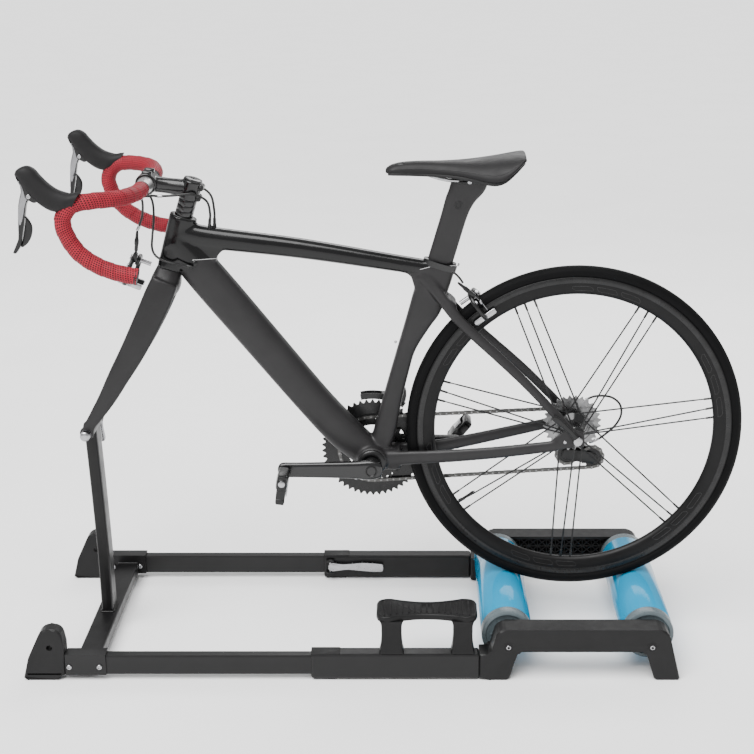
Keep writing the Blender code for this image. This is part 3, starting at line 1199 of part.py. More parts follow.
def main():
    clear_scene()
    stand_steel = material("stand_steel", (0.030, 0.030, 0.032), 0.45, 0.3)
    plastic = material("black_plastic", (0.035, 0.035, 0.037), 0.50)
    blue = material("roller_blue", (0.010, 0.330, 0.720), 0.12)
    silver = material("silver", (0.620, 0.620, 0.630), 0.30, 1.0)
    alloy = material("bar_alloy", (0.550, 0.550, 0.550), 0.35, 1.0)
    frame_grey = material("frame_grey", (0.055, 0.053, 0.055), 0.42)
    gloss_black = material("gloss_black", (0.012, 0.012, 0.013), 0.20)
    tape = material("bar_tape", (0.420, 0.040, 0.060), 0.70)
    rubber = material("black_rubber", (0.045, 0.044, 0.045), 0.65)
    chain_steel = material("chain_steel", (0.330, 0.330, 0.330), 0.35, 1.0)
    tyre_rubber = material("tyre_rubber", (0.028, 0.028, 0.029), 0.75)
    padded = material("saddle_cover", (0.045, 0.044, 0.046), 0.55)

    build_stand(stand_steel, plastic, blue, silver)
    lift = pivot("bike_lift", FORK_AXLE)
    build_front(lift, gloss_black, tape, alloy, frame_grey, rubber)
    turn = pivot("steering", HEAD_POINT, lift)
    build_frame(turn, frame_grey, gloss_black, rubber, chain_steel, padded)
    build_drive(turn, gloss_black, chain_steel, tyre_rubber)


main()
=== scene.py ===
import math

import bmesh
import bpy
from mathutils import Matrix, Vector


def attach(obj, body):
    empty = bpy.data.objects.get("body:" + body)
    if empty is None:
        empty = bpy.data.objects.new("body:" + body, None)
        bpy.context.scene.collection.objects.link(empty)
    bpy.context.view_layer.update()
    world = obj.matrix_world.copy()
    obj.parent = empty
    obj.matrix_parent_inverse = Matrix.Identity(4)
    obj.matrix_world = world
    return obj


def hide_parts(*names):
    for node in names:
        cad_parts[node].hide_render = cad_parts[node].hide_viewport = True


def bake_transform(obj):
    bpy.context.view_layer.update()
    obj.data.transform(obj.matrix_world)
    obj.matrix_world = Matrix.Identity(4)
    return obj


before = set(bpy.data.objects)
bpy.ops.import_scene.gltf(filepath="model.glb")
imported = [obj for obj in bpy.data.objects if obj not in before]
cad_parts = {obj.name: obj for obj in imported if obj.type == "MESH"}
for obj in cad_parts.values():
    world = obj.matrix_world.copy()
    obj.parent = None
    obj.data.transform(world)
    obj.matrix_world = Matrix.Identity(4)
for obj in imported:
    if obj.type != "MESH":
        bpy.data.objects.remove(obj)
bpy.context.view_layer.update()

UP = Vector((0, 0, 1))
X = Vector((1, 0, 0))
Y = Vector((0, 1, 0))
SIDES = (("left", -1), ("right", 1))

# ---------------------------------------------------------------- sizes, as in the CAD
HEAD_ANGLE = math.radians(73)
SEAT_ANGLE = math.radians(73.7)
HEAD_POINT = Vector((-0.3920, 0, 0.8620))
HEAD_UP = Vector((math.cos(HEAD_ANGLE), 0, math.sin(HEAD_ANGLE)))
SEAT_UP = Vector((math.cos(SEAT_ANGLE), 0, math.sin(SEAT_ANGLE)))
SEAT_BACK = Vector((SEAT_UP.z, 0, -SEAT_UP.x))
FORK_AXLE = Vector((-0.5940, 0, 0.4370))
BB = Vector((-0.0340, 0, 0.3720))
WHEEL_X, ROLLER_Z, ROLLER_SPREAD = 0.369, 0.070, 0.138
WHEEL_Z = ROLLER_Z + math.sqrt((0.335 + 0.050 + 0.0004) ** 2 - ROLLER_SPREAD ** 2)
WHEEL = Vector((WHEEL_X, 0, WHEEL_Z))
BAR_CENTRE = Vector((-0.4580, 0, 0.9270))
BAR_HALF = 0.2110
RIM_INNER, RIM_OUTER = 0.278, 0.3130
TYRE_CENTRE, TYRE_HALF = 0.3225, 0.0125
CHAIN_PITCH = 0.0127
GUIDE, TENSION = (0.3622, 0.3577), (0.4140, 0.3500)
COG_Y = 0.0500


def mix(a, b, t):
    return a + (b - a) * t


# ---------------------------------------------------------------- materials

def shader_of(name):
    mat = bpy.data.materials.new(name)
    mat.use_nodes = True
    return mat, mat.node_tree.nodes, mat.node_tree.links, mat.node_tree.nodes["Principled BSDF"]


def math_node(nodes, links, operation, a, b=None, c=None):
    node = nodes.new("ShaderNodeMath")
    node.operation = operation
    for slot, value in zip(node.inputs, (a, b, c)):
        if value is None:
            continue
        if isinstance(value, (int, float)):
            slot.default_value = value
        else:
            links.new(value, slot)
    return node.outputs[0]


def noise_node(nodes, links, scale, detail=4.0, rough=0.55, stretch=None):
    coords = nodes.new("ShaderNodeTexCoord")
    noise = nodes.new("ShaderNodeTexNoise")
    noise.inputs["Scale"].default_value = scale
    noise.inputs["Detail"].default_value = detail
    noise.inputs["Roughness"].default_value = rough
    if stretch:
        mapping = nodes.new("ShaderNodeMapping")
        mapping.inputs["Scale"].default_value = stretch
        links.new(coords.outputs["Object"], mapping.inputs["Vector"])
        links.new(mapping.outputs["Vector"], noise.inputs["Vector"])
    else:
        links.new(coords.outputs["Object"], noise.inputs["Vector"])
    return noise.outputs["Fac"]


def ramp(nodes, links, source, stops):
    node = nodes.new("ShaderNodeValToRGB")
    while len(node.color_ramp.elements) < len(stops):
        node.color_ramp.elements.new(0.5)
    for element, (place, colour) in zip(node.color_ramp.elements, stops):
        element.position = place
        element.color = (*colour, 1.0)
    links.new(source, node.inputs["Fac"])
    return node.outputs["Color"]


def blend_colour(nodes, links, factor, a, b):
    node = nodes.new("ShaderNodeMix")
    node.data_type = "RGBA"
    links.new(factor, node.inputs["Factor"])
    for slot, value in ((node.inputs["A"], a), (node.inputs["B"], b)):
        if isinstance(value, tuple):
            slot.default_value = (*value, 1.0)
        else:
            links.new(value, slot)
    return node.outputs["Result"]


def span(nodes, links, source, low, high, smooth=True):
    """0 below low, 1 above high."""
    node = nodes.new("ShaderNodeMapRange")
    node.interpolation_type = "SMOOTHSTEP" if smooth else "LINEAR"
    links.new(source, node.inputs["Value"])
    node.inputs["From Min"].default_value = low
    node.inputs["From Max"].default_value = high
    return node.outputs["Result"]


def remap(nodes, links, source, low, high):
    node = nodes.new("ShaderNodeMapRange")
    links.new(source, node.inputs["Value"])
    node.inputs["From Min"].default_value = 0.3
    node.inputs["From Max"].default_value = 0.7
    node.inputs["To Min"].default_value = low
    node.inputs["To Max"].default_value = high
    return node.outputs["Result"]


def bumped(nodes, links, shader, height, strength, distance, before=None):
    node = nodes.new("ShaderNodeBump")
    node.inputs["Strength"].default_value = strength
    node.inputs["Distance"].default_value = distance
    links.new(height, node.inputs["Height"])
    if before:
        links.new(before, node.inputs["Normal"])
    links.new(node.outputs["Normal"], shader.inputs["Normal"])
    return node.outputs["Normal"]


def surface(name, colour, rough, metal=0.0, vary=0.15, scale=30, grain=900, bump=0.15, depth=0.0002,
            rough_vary=0.06, coat=0.0, coat_rough=0.1, sheen=0.0, stretch=None, edge=0.0, spec=0.35):
    """A painted, moulded or metal surface with clouded colour, uneven gloss and a fine grain."""
    mat, nodes, links, shader = shader_of(name)
    cloud = noise_node(nodes, links, scale)
    dark = tuple(c * (1 - vary) for c in colour)
    light = tuple(min(1, c * (1 + vary)) for c in colour)
    tint = ramp(nodes, links, cloud, ((0.3, dark), (0.7, light)))
    if edge:
        # a lighter colour on edges where the surface turns sharply
        geometry = nodes.new("ShaderNodeNewGeometry")
        sharp = span(nodes, links, geometry.outputs["Pointiness"], 0.52, 0.60)
        amount = math_node(nodes, links, "MULTIPLY", sharp, edge)
        tint = blend_colour(nodes, links, amount, tint, tuple(min(1, c * 3 + 0.06) for c in colour))
    links.new(tint, shader.inputs["Base Color"])
    fine = noise_node(nodes, links, grain, 3.0, 0.6, stretch)
    gloss = remap(nodes, links, noise_node(nodes, links, scale * 2.3), rough - rough_vary, rough + rough_vary)
    links.new(gloss, shader.inputs["Roughness"])
    shader.inputs["Metallic"].default_value = metal
    shader.inputs["Specular IOR Level"].default_value = spec if metal < 0.5 else 0.5
    shader.inputs["Coat Weight"].default_value = coat
    shader.inputs["Coat Roughness"].default_value = coat_rough
    shader.inputs["Sheen Weight"].default_value = sheen
    bumped(nodes, links, shader, fine, bump, depth)
    return mat


def frame_material():
    """Matte charcoal with a glossy black zone over the head and top tubes, and thin pale lines along that
    zone's edge that are a painted highlight.
    """
    mat, nodes, links, shader = shader_of("frame_charcoal")
    coords = nodes.new("ShaderNodeTexCoord")
    split = nodes.new("ShaderNodeSeparateXYZ")
    links.new(coords.outputs["Object"], split.inputs["Vector"])
    x, z = split.outputs["X"], split.outputs["Z"]

    def line(px, pz, qx, qz):
        """Signed distance to a line in the frame's plane, positive on its upper side."""
        nx, nz = -(qz - pz), qx - px
        size = math.hypot(nx, nz)
        nx, nz = nx / size, nz / size
        a = math_node(nodes, links, "MULTIPLY", x, nx)
        b = math_node(nodes, links, "MULTIPLY_ADD", z, nz, a)
        return math_node(nodes, links, "SUBTRACT", b, px * nx + pz * nz)

    along_top = math_node(nodes, links, "MAXIMUM", line(-0.3764, 0.7814, -0.3246, 0.7824),
                          line(-0.3246, 0.7824, 0.0300, 0.7480))
    at_collar = math_node(nodes, links, "MAXIMUM", line(0.0300, 0.7535, 0.0918, 0.7693),
                          line(0.0918, 0.7693, 0.1283, 0.7674))
    main = math_node(nodes, links, "MINIMUM", along_top, at_collar)
    wedge = math_node(nodes, links, "MINIMUM", line(-0.4330, 0.7475, -0.3657, 0.7664),
                      line(-0.3657, 0.7664, -0.3764, 0.7814))
    zone = math_node(nodes, links, "MAXIMUM", main, wedge)
    gloss = span(nodes, links, zone, 0.0, 0.0006)
    # painted highlight: a thin pale grey line just outside the gloss zone's edge, at its front end and from
    # the seat cluster back
    away = math_node(nodes, links, "ABSOLUTE", math_node(nodes, links, "SUBTRACT", zone, -0.0007))
    painted_highlight = math_node(nodes, links, "SUBTRACT", 1.0, span(nodes, links, away, 0.0002, 0.0007))
    front = math_node(nodes, links, "MULTIPLY", span(nodes, links, x, -0.3790, -0.3780),
                      math_node(nodes, links, "SUBTRACT", 1.0, span(nodes, links, x, -0.3180, -0.3170)))
    back = span(nodes, links, x, 0.0600, 0.0620)
    front = math_node(nodes, links, "MULTIPLY", front, span(nodes, links, z, 0.7785, 0.7795))
    painted_highlight = math_node(nodes, links, "MULTIPLY", painted_highlight, math_node(nodes, links, "MAXIMUM", front, back))
    painted_highlight = math_node(nodes, links, "MULTIPLY", painted_highlight, 0.8)
    cloud = noise_node(nodes, links, 14)
    charcoal = ramp(nodes, links, cloud, ((0.3, (0.0085, 0.0080, 0.0085)), (0.7, (0.0118, 0.0112, 0.0118))))
    black = ramp(nodes, links, cloud, ((0.3, (0.0020, 0.0020, 0.0022)), (0.7, (0.0034, 0.0034, 0.0036))))
    tint = blend_colour(nodes, links, gloss, charcoal, black)
    tint = blend_colour(nodes, links, painted_highlight, tint, (0.62, 0.62, 0.62))
    links.new(tint, shader.inputs["Base Color"])
    matte = remap(nodes, links, noise_node(nodes, links, 40), 0.40, 0.50)
    shiny = remap(nodes, links, noise_node(nodes, links, 25), 0.13, 0.19)
    rough = nodes.new("ShaderNodeMix")
    links.new(gloss, rough.inputs["Factor"])
    links.new(matte, rough.inputs["A"])
    links.new(shiny, rough.inputs["B"])
    links.new(rough.outputs["Result"], shader.inputs["Roughness"])
    shader.inputs["Specular IOR Level"].default_value = 0.32
    weave = noise_node(nodes, links, 1600, 2.0, 0.5)
    wave = noise_node(nodes, links, 22, 2.0, 0.4)
    first = bumped(nodes, links, shader, wave, 0.25, 0.0012)
    bumped(nodes, links, shader, weave, 0.10, 0.0001, first)
    return mat


def tape_material():
    """Red wrap, perforated with rows of small dark dots; the dots follow the tape's own coordinates."""
    mat, nodes, links, shader = shader_of("red_perforated_tape")
    uv = nodes.new("ShaderNodeUVMap")
    uv.uv_map = "UVMap"
    split = nodes.new("ShaderNodeSeparateXYZ")
    links.new(uv.outputs["UV"], split.inputs["Vector"])
    pitch = 0.0046
    wide = pitch * math.sqrt(3)

    def lattice(shift):
        parts = []
        for source, size in ((split.outputs["X"], pitch), (split.outputs["Y"], wide)):
            scaled = math_node(nodes, links, "MULTIPLY_ADD", source, 1 / size, shift)
            cell = math_node(nodes, links, "SUBTRACT", math_node(nodes, links, "FRACT", scaled), 0.5)
            far = math_node(nodes, links, "MULTIPLY", cell, size)
            parts.append(math_node(nodes, links, "MULTIPLY", far, far))
        return math_node(nodes, links, "SQRT", math_node(nodes, links, "ADD", *parts))

    near = math_node(nodes, links, "MINIMUM", lattice(0.0), lattice(0.5))
    hole = math_node(nodes, links, "SUBTRACT", 1.0, span(nodes, links, near, 0.00120, 0.00165))
    cloud = noise_node(nodes, links, 60)
    red = ramp(nodes, links, cloud, ((0.3, (0.235, 0.010, 0.020)), (0.7, (0.330, 0.016, 0.030))))
    links.new(blend_colour(nodes, links, hole, red, (0.012, 0.003, 0.004)), shader.inputs["Base Color"])
    links.new(remap(nodes, links, cloud, 0.52, 0.66), shader.inputs["Roughness"])
    shader.inputs["Specular IOR Level"].default_value = 0.2
    skin_grain = noise_node(nodes, links, 900)
    first = bumped(nodes, links, shader, skin_grain, 0.15, 0.0002)
    dent = math_node(nodes, links, "SUBTRACT", 1.0, hole)
    bumped(nodes, links, shader, dent, 0.6, 0.0004, first)
    return mat


def tyre_material():
    """Black rubber: a fine file tread on the crown and smooth, faintly ribbed sidewalls."""
    mat, nodes, links, shader = shader_of("tyre_rubber")
    uv = nodes.new("ShaderNodeUVMap")
    uv.uv_map = "UVMap"
    split = nodes.new("ShaderNodeSeparateXYZ")
    links.new(uv.outputs["UV"], split.inputs["Vector"])
    along, across = split.outputs["X"], split.outputs["Y"]
    folded = math_node(nodes, links, "ABSOLUTE", across)
    slant = math_node(nodes, links, "MULTIPLY_ADD", folded, 1.2, along)
    wave = math_node(nodes, links, "SINE", math_node(nodes, links, "MULTIPLY", slant, 2 * math.pi / 0.0045))
    cuts = span(nodes, links, wave, 0.25, 0.75)
    band = math_node(nodes, links, "MULTIPLY", span(nodes, links, folded, 0.0042, 0.0052),
                     math_node(nodes, links, "SUBTRACT", 1.0, span(nodes, links, folded, 0.0125, 0.0135)))
    tread = math_node(nodes, links, "MULTIPLY", cuts, band)
    ribs = math_node(nodes, links, "SINE", math_node(nodes, links, "MULTIPLY", folded, 2 * math.pi / 0.0016))
    side = span(nodes, links, folded, 0.0150, 0.0160)
    height = math_node(nodes, links, "SUBTRACT", math_node(nodes, links, "MULTIPLY", ribs,
                                                           math_node(nodes, links, "MULTIPLY", side, 0.12)),
                       tread)
    cloud = noise_node(nodes, links, 26)
    rubber = ramp(nodes, links, cloud, ((0.3, (0.0018, 0.0018, 0.0020)), (0.7, (0.0034, 0.0034, 0.0037))))
    # painted shade: the tread cuts are blended halfway toward a deeper black
    shaded_tread = blend_colour(nodes, links, math_node(nodes, links, "MULTIPLY", tread, 0.5), rubber,
                         (0.002, 0.002, 0.002))
    links.new(shaded_tread, shader.inputs["Base Color"])
    links.new(remap(nodes, links, cloud, 0.50, 0.68), shader.inputs["Roughness"])
    shader.inputs["Specular IOR Level"].default_value = 0.08
    first = bumped(nodes, links, shader, noise_node(nodes, links, 1200), 0.2, 0.0002)
    bumped(nodes, links, shader, height, 0.7, 0.0005, first)
    return mat


MATERIALS = {
    "frame": frame_material(),
    "charcoal": surface("matte_charcoal", (0.0102, 0.0097, 0.0102), 0.45, vary=0.14, scale=14, grain=1600,
                        bump=0.10,
                        depth=0.0001, spec=0.32),
    "gloss": surface("gloss_black", (0.0030, 0.0030, 0.0033), 0.17, vary=0.2, scale=20, grain=500, bump=0.04,
                     spec=0.5),
    "satin": surface("satin_black", (0.0034, 0.0034, 0.0036), 0.30, vary=0.2, scale=35, bump=0.08, edge=0.05,
                     spec=0.35),
    "rim": surface("rim_black", (0.0036, 0.0035, 0.0037), 0.38, vary=0.2, scale=22, grain=1400, bump=0.10,
                   depth=0.0001, spec=0.18),
    "track": surface("brake_track", (0.0130, 0.0130, 0.0133), 0.30, metal=0.3, vary=0.25, scale=60, bump=0.2,
                     stretch=(1, 6, 1)),
    "steel": surface("stand_powder_coat", (0.0040, 0.0039, 0.0041), 0.36, vary=0.18, scale=18, grain=1500,
                     bump=0.25,
                     depth=0.00015, edge=0.08, spec=0.25),
    "plastic": surface("moulded_black", (0.0046, 0.0045, 0.0047), 0.46, vary=0.18, scale=25, grain=1100,
                       bump=0.35,
                       depth=0.0002, edge=0.06, spec=0.2),
    "blue": surface("roller_blue", (0.0001, 0.2050, 0.3700), 0.12, vary=0.05, scale=6, grain=300, bump=0.02,
                    rough_vary=0.02, spec=0.16),
    "cap": surface("roller_cap_grey", (0.085, 0.108, 0.118), 0.30, vary=0.12, scale=40, bump=0.10),
    "silver": surface("bright_steel", (0.380, 0.380, 0.390), 0.24, metal=1.0, vary=0.10, scale=60, bump=0.12,
                      stretch=(1, 8, 1)),
    "lever": surface("lever_silver", (0.270, 0.270, 0.280), 0.30, metal=0.9, vary=0.08, scale=50, bump=0.08),
    "bar": surface("bar_alloy", (0.400, 0.400, 0.400), 0.36, metal=0.85, vary=0.08, scale=50, grain=2000,
                   bump=0.2),
    "chain": surface("chain_steel", (0.055, 0.054, 0.052), 0.34, metal=0.9, vary=0.35, scale=90, bump=0.15,
                     edge=0.2),
    "cogs": surface("cassette_steel", (0.200, 0.200, 0.202), 0.30, metal=0.95, vary=0.25, scale=70, bump=0.15),
    "hood": surface("hood_rubber", (0.0078, 0.0075, 0.0079), 0.60, vary=0.12, scale=30, grain=1500, bump=0.5,
                    depth=0.0002, spec=0.2),
    "cable": surface("cable_casing", (0.0040, 0.0040, 0.0040), 0.36, vary=0.2, scale=80, bump=0.1),
    "saddle": surface("saddle_cover", (0.0072, 0.0069, 0.0073), 0.50, vary=0.15, scale=24, grain=800,
                      bump=0.45,
                      depth=0.00025, spec=0.22),
    "shell": surface("saddle_shell_black", (0.0045, 0.0045, 0.0048), 0.42, bump=0.2),
    "pad": surface("brake_pad", (0.0070, 0.0070, 0.0070), 0.75, bump=0.3, spec=0.2),
    "rim_line": surface("rim_line_grey", (0.0260, 0.0255, 0.0262), 0.35, vary=0.3, scale=60, bump=0.05),
    "tape": tape_material(),
    "tyre": tyre_material(),
}


# ---------------------------------------------------------------- geometry: points, faces and face UVs

def superellipse(centre, u, v, a, b, sides=32, power=2.3):
    points = []
    for i in range(sides):
        angle = 2 * math.pi * i / sides
        c, s = math.cos(angle), math.sin(angle)
        points.append(centre + u * (a * math.copysign(abs(c) ** (2 / power), c))
                      + v * (b * math.copysign(abs(s) ** (2 / power), s)))
    return points


def skin(rings, loop=False, uv=None):
    """Faces through equal closed rings; uv(i, j) may give texture coordinates."""
    count = len(rings[0])
    points = [p for ring in rings for p in ring]
    faces, coords = [], []
    rows = len(rings) if loop else len(rings) - 1
    for i in range(rows):
        k = (i + 1) % len(rings)
        for j in range(count):
            m = (j + 1) % count
            faces.append((i * count + j, i * count + m, k * count + m, k * count + j))
            if uv:
                coords.append((uv(i, j), uv(i, j + 1), uv(i + 1, j + 1), uv(i + 1, j)))
    if not loop:
        faces.append(tuple(range(count))[::-1])
        faces.append(tuple((len(rings) - 1) * count + j for j in range(count)))
        if uv:
            coords.extend([tuple((0, 0) for _ in range(count))] * 2)
    return points, faces, coords


def smooth_values(rows, steps):
    """Catmull-Rom interpolation of rows of numbers."""
    ends = [[2 * a - b for a, b in zip(rows[0], rows[1])]] + [list(r) for r in rows]
    ends.append([2 * a - b for a, b in zip(rows[-1], rows[-2])])
    out = []
    for a, b, c, d in zip(ends, ends[1:], ends[2:], ends[3:]):
        for k in range(steps):
            t = k / steps
            out.append([0.5 * (2 * q + (r - p) * t + (2 * p - 5 * q + 4 * r - s) * t ** 2
                               + (3 * q - p - 3 * r + s) * t ** 3) for p, q, r, s in zip(a, b, c, d)])
    out.append(list(rows[-1]))
    return out


def curve_through(points, steps):
    return [Vector(p) for p in smooth_values([tuple(p) for p in points], steps)]


def carried(points):
    frames, normal = [], None
    for i, point in enumerate(points):
        along = (points[min(i + 1, len(points) - 1)] - points[max(i - 1, 0)]).normalized()
        if normal is None:
            normal = along.cross(UP if abs(along.z) < 0.9 else Y).normalized()
        normal = (normal - along * normal.dot(along)).normalized()
        frames.append((normal, along.cross(normal)))
    return frames


def tube(points, radius, sides=16):
    radii = radius if isinstance(radius, (list, tuple)) else [radius] * len(points)
    return skin([superellipse(p, u, v, r, r, sides, 2) for p, (u, v), r in zip(points, carried(points),
                                                                               radii)])


def oval_tube(stations, steps=6, sides=40, power=2.3, grow=0.0):
    """Each station is x, z, half depth, half width and optionally y."""
    rows = smooth_values([(*s, 0.0)[:5] if len(s) == 4 else s for s in stations], steps)
    places = [Vector((r[0], r[4], r[1])) for r in rows]
    rings = []
    for i, row in enumerate(rows):
        along = places[min(i + 1, len(places) - 1)] - places[max(i - 1, 0)]
        depth = Vector((-along.z, 0, along.x)).normalized()
        rings.append(superellipse(places[i], depth, Y, row[2] + grow, row[3] + grow, sides, power))
    return skin(rings)


def spun(profile, origin, axis=Y, steps=32, ring=False, start=0.0, uv=None):
    """A profile of radius and height turned about an axis through the origin."""
    axis = Vector(axis).normalized()
    u = axis.cross(X if abs(axis.x) < 0.9 else UP).normalized()
    v = axis.cross(u)
    points, faces, coords = [], [], []
    for radius, height in profile:
        for i in range(steps):
            a = start + 2 * math.pi * i / steps
            points.append(Vector(origin) + axis * height + (u * math.cos(a) + v * math.sin(a)) * radius)
    rows = len(profile) if ring else len(profile) - 1
    for i in range(rows):
        k = (i + 1) % len(profile)
        for j in range(steps):
            m = (j + 1) % steps
            faces.append((i * steps + j, i * steps + m, k * steps + m, k * steps + j))
            if uv:
                coords.append((uv(i, j), uv(i, j + 1), uv(i + 1, j + 1), uv(i + 1, j)))
    if not ring:
        faces.append(tuple(range(steps))[::-1])
        faces.append(tuple((len(profile) - 1) * steps + j for j in range(steps)))
        if uv:
            coords.extend([tuple((0, 0) for _ in range(steps))] * 2)
    return points, faces, coords


def rounded(corners, steps=5):
    points, count = [], len(corners)
    for i, (x, z, radius) in enumerate(corners):
        here = Vector((x, z))
        if radius == 0:
            points.append(here)
            continue
        back = (Vector(corners[i - 1][:2]) - here).normalized()
        ahead = (Vector(corners[(i + 1) % count][:2]) - here).normalized()
        half = math.acos(max(-1, min(1, back.dot(ahead)))) / 2
        reach = radius / math.tan(half)
        middle = here + (back + ahead).normalized() * (radius / math.sin(half))
        start, end = here + back * reach - middle, here + ahead * reach - middle
        turn = start.angle_signed(end)
        for k in range(steps + 1):
            c, s = math.cos(-turn * k / steps), math.sin(-turn * k / steps)
            points.append(middle + Vector((start.x * c - start.y * s, start.x * s + start.y * c)))
    return points


def plate(outline, y0, y1, bevel=0.0, holes=()):
    """An outline in X and Z with a thickness along Y and chamfered rims."""
    bm = bmesh.new()
    low = [bm.verts.new((p[0], y0, p[1])) for p in outline]
    high = [bm.verts.new((p[0], y1, p[1])) for p in outline]
    for i in range(len(outline)):
        j = (i + 1) % len(outline)
        bm.faces.new((low[i], low[j], high[j], high[i]))
    rims = [bm.faces.new(low), bm.faces.new(list(reversed(high)))]
    if bevel:
        edges = list({edge for face in rims for edge in face.edges})
        bmesh.ops.bevel(bm, geom=edges, offset=bevel, segments=3, profile=0.5, affect="EDGES")
    bmesh.ops.recalc_face_normals(bm, faces=bm.faces)
    bm.verts.ensure_lookup_table()
    out = [v.co.copy() for v in bm.verts], [tuple(v.index for v in f.verts) for f in bm.faces], []
    bm.free()
    return out


def block(low, high, bevel=0.001, segments=2):
    bm = bmesh.new()
    bmesh.ops.create_cube(bm, size=1.0)
    for vert in bm.verts:
        for axis in range(3):
            vert.co[axis] = high[axis] if vert.co[axis] > 0 else low[axis]
    bmesh.ops.bevel(bm, geom=bm.edges[:], offset=bevel, segments=segments, profile=0.5, affect="EDGES")
    bm.verts.ensure_lookup_table()
    out = [v.co.copy() for v in bm.verts], [tuple(v.index for v in f.verts) for f in bm.faces], []
    bm.free()
    return out


def bolt(place, axis, radius=0.004, height=0.003):
    """A domed cap screw with a hexagon socket."""
    axis = Vector(axis).normalized()
    r, h = radius, height
    return spun([(r, -0.0008), (r, h * 0.55), (r * 0.90, h * 0.85), (r * 0.70, h), (r * 0.55, h),
                 (r * 0.50, h * 0.35), (0.0001, h * 0.30)], place, axis, 24)


def hexagon(place, axis, radius, height):
    """A hexagonal nut with a rounded washer face and a domed centre."""
    place, axis = Vector(place), Vector(axis).normalized()
    nut = spun([(radius * 0.93, 0), (radius, height * 0.12), (radius, height * 0.88), (radius * 0.92, height),
                (radius * 0.55, height), (radius * 0.50, height * 1.25), (radius * 0.30, height * 1.4)],
               place, axis, 6)
    washer = spun([(radius * 1.18, 0), (radius * 1.22, -0.0006), (radius * 1.22, -0.0012)], place, axis, 28)
    return [nut, washer]


def make(name, body, mat, geos, replaces=(), angle=38, subdivide=0):
    """One object out of several bodies of geometry, riding on a CAD body."""
    points, faces, coords = [], [], []
    has_uv = any(g[2] for g in geos)
    for g in geos:
        base = len(points)
        points.extend(g[0])
        faces.extend(tuple(base + i for i in f) for f in g[1])
        coords.extend(g[2] if g[2] else [tuple((0, 0) for _ in f) for f in g[1]] if has_uv else [])
    mesh = bpy.data.meshes.new(name)
    mesh.from_pydata([tuple(p) for p in points], [], faces)
    if has_uv:
        layer = mesh.uv_layers.new(name="UVMap")
        flat = [c for face in coords for c in face]
        for slot_uv, value in zip(layer.data, flat):
            slot_uv.uv = value
    bm = bmesh.new()
    bm.from_mesh(mesh)
    bmesh.ops.remove_doubles(bm, verts=bm.verts, dist=1e-7)
    bmesh.ops.recalc_face_normals(bm, faces=bm.faces)
    bm.to_mesh(mesh)
    bm.free()
    mesh.materials.append(MATERIALS[mat])
    mesh.shade_smooth()
    mesh.set_sharp_from_angle(angle=math.radians(angle))
    obj = bpy.data.objects.new(name, mesh)
    bpy.context.scene.collection.objects.link(obj)
    if subdivide:
        mod = obj.modifiers.new("Subdivision", "SUBSURF")
        mod.levels = mod.render_levels = subdivide
    if body:
        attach(obj, body)
    if replaces:
        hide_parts(*replaces)
    return obj


def fuse(obj, voxel, smooth=6, factor=0.5):
    """Grow overlapping tubes into one skin with rounded joints."""
    remesh = obj.modifiers.new("Remesh", "REMESH")
    remesh.mode = "VOXEL"
    remesh.voxel_size = voxel
    soft = obj.modifiers.new("Smooth", "SMOOTH")
    soft.factor = factor
    soft.iterations = smooth
    depsgraph = bpy.context.evaluated_depsgraph_get()
    mesh = bpy.data.meshes.new_from_object(obj.evaluated_get(depsgraph))
    obj.modifiers.clear()
    obj.data = mesh
    mesh.shade_smooth()
    return obj


def repaint(mat, *nodes):
    for node in nodes:
        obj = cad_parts[node]
        for entry in obj.material_slots:
            entry.material = MATERIALS[mat]


# ---------------------------------------------------------------- stand

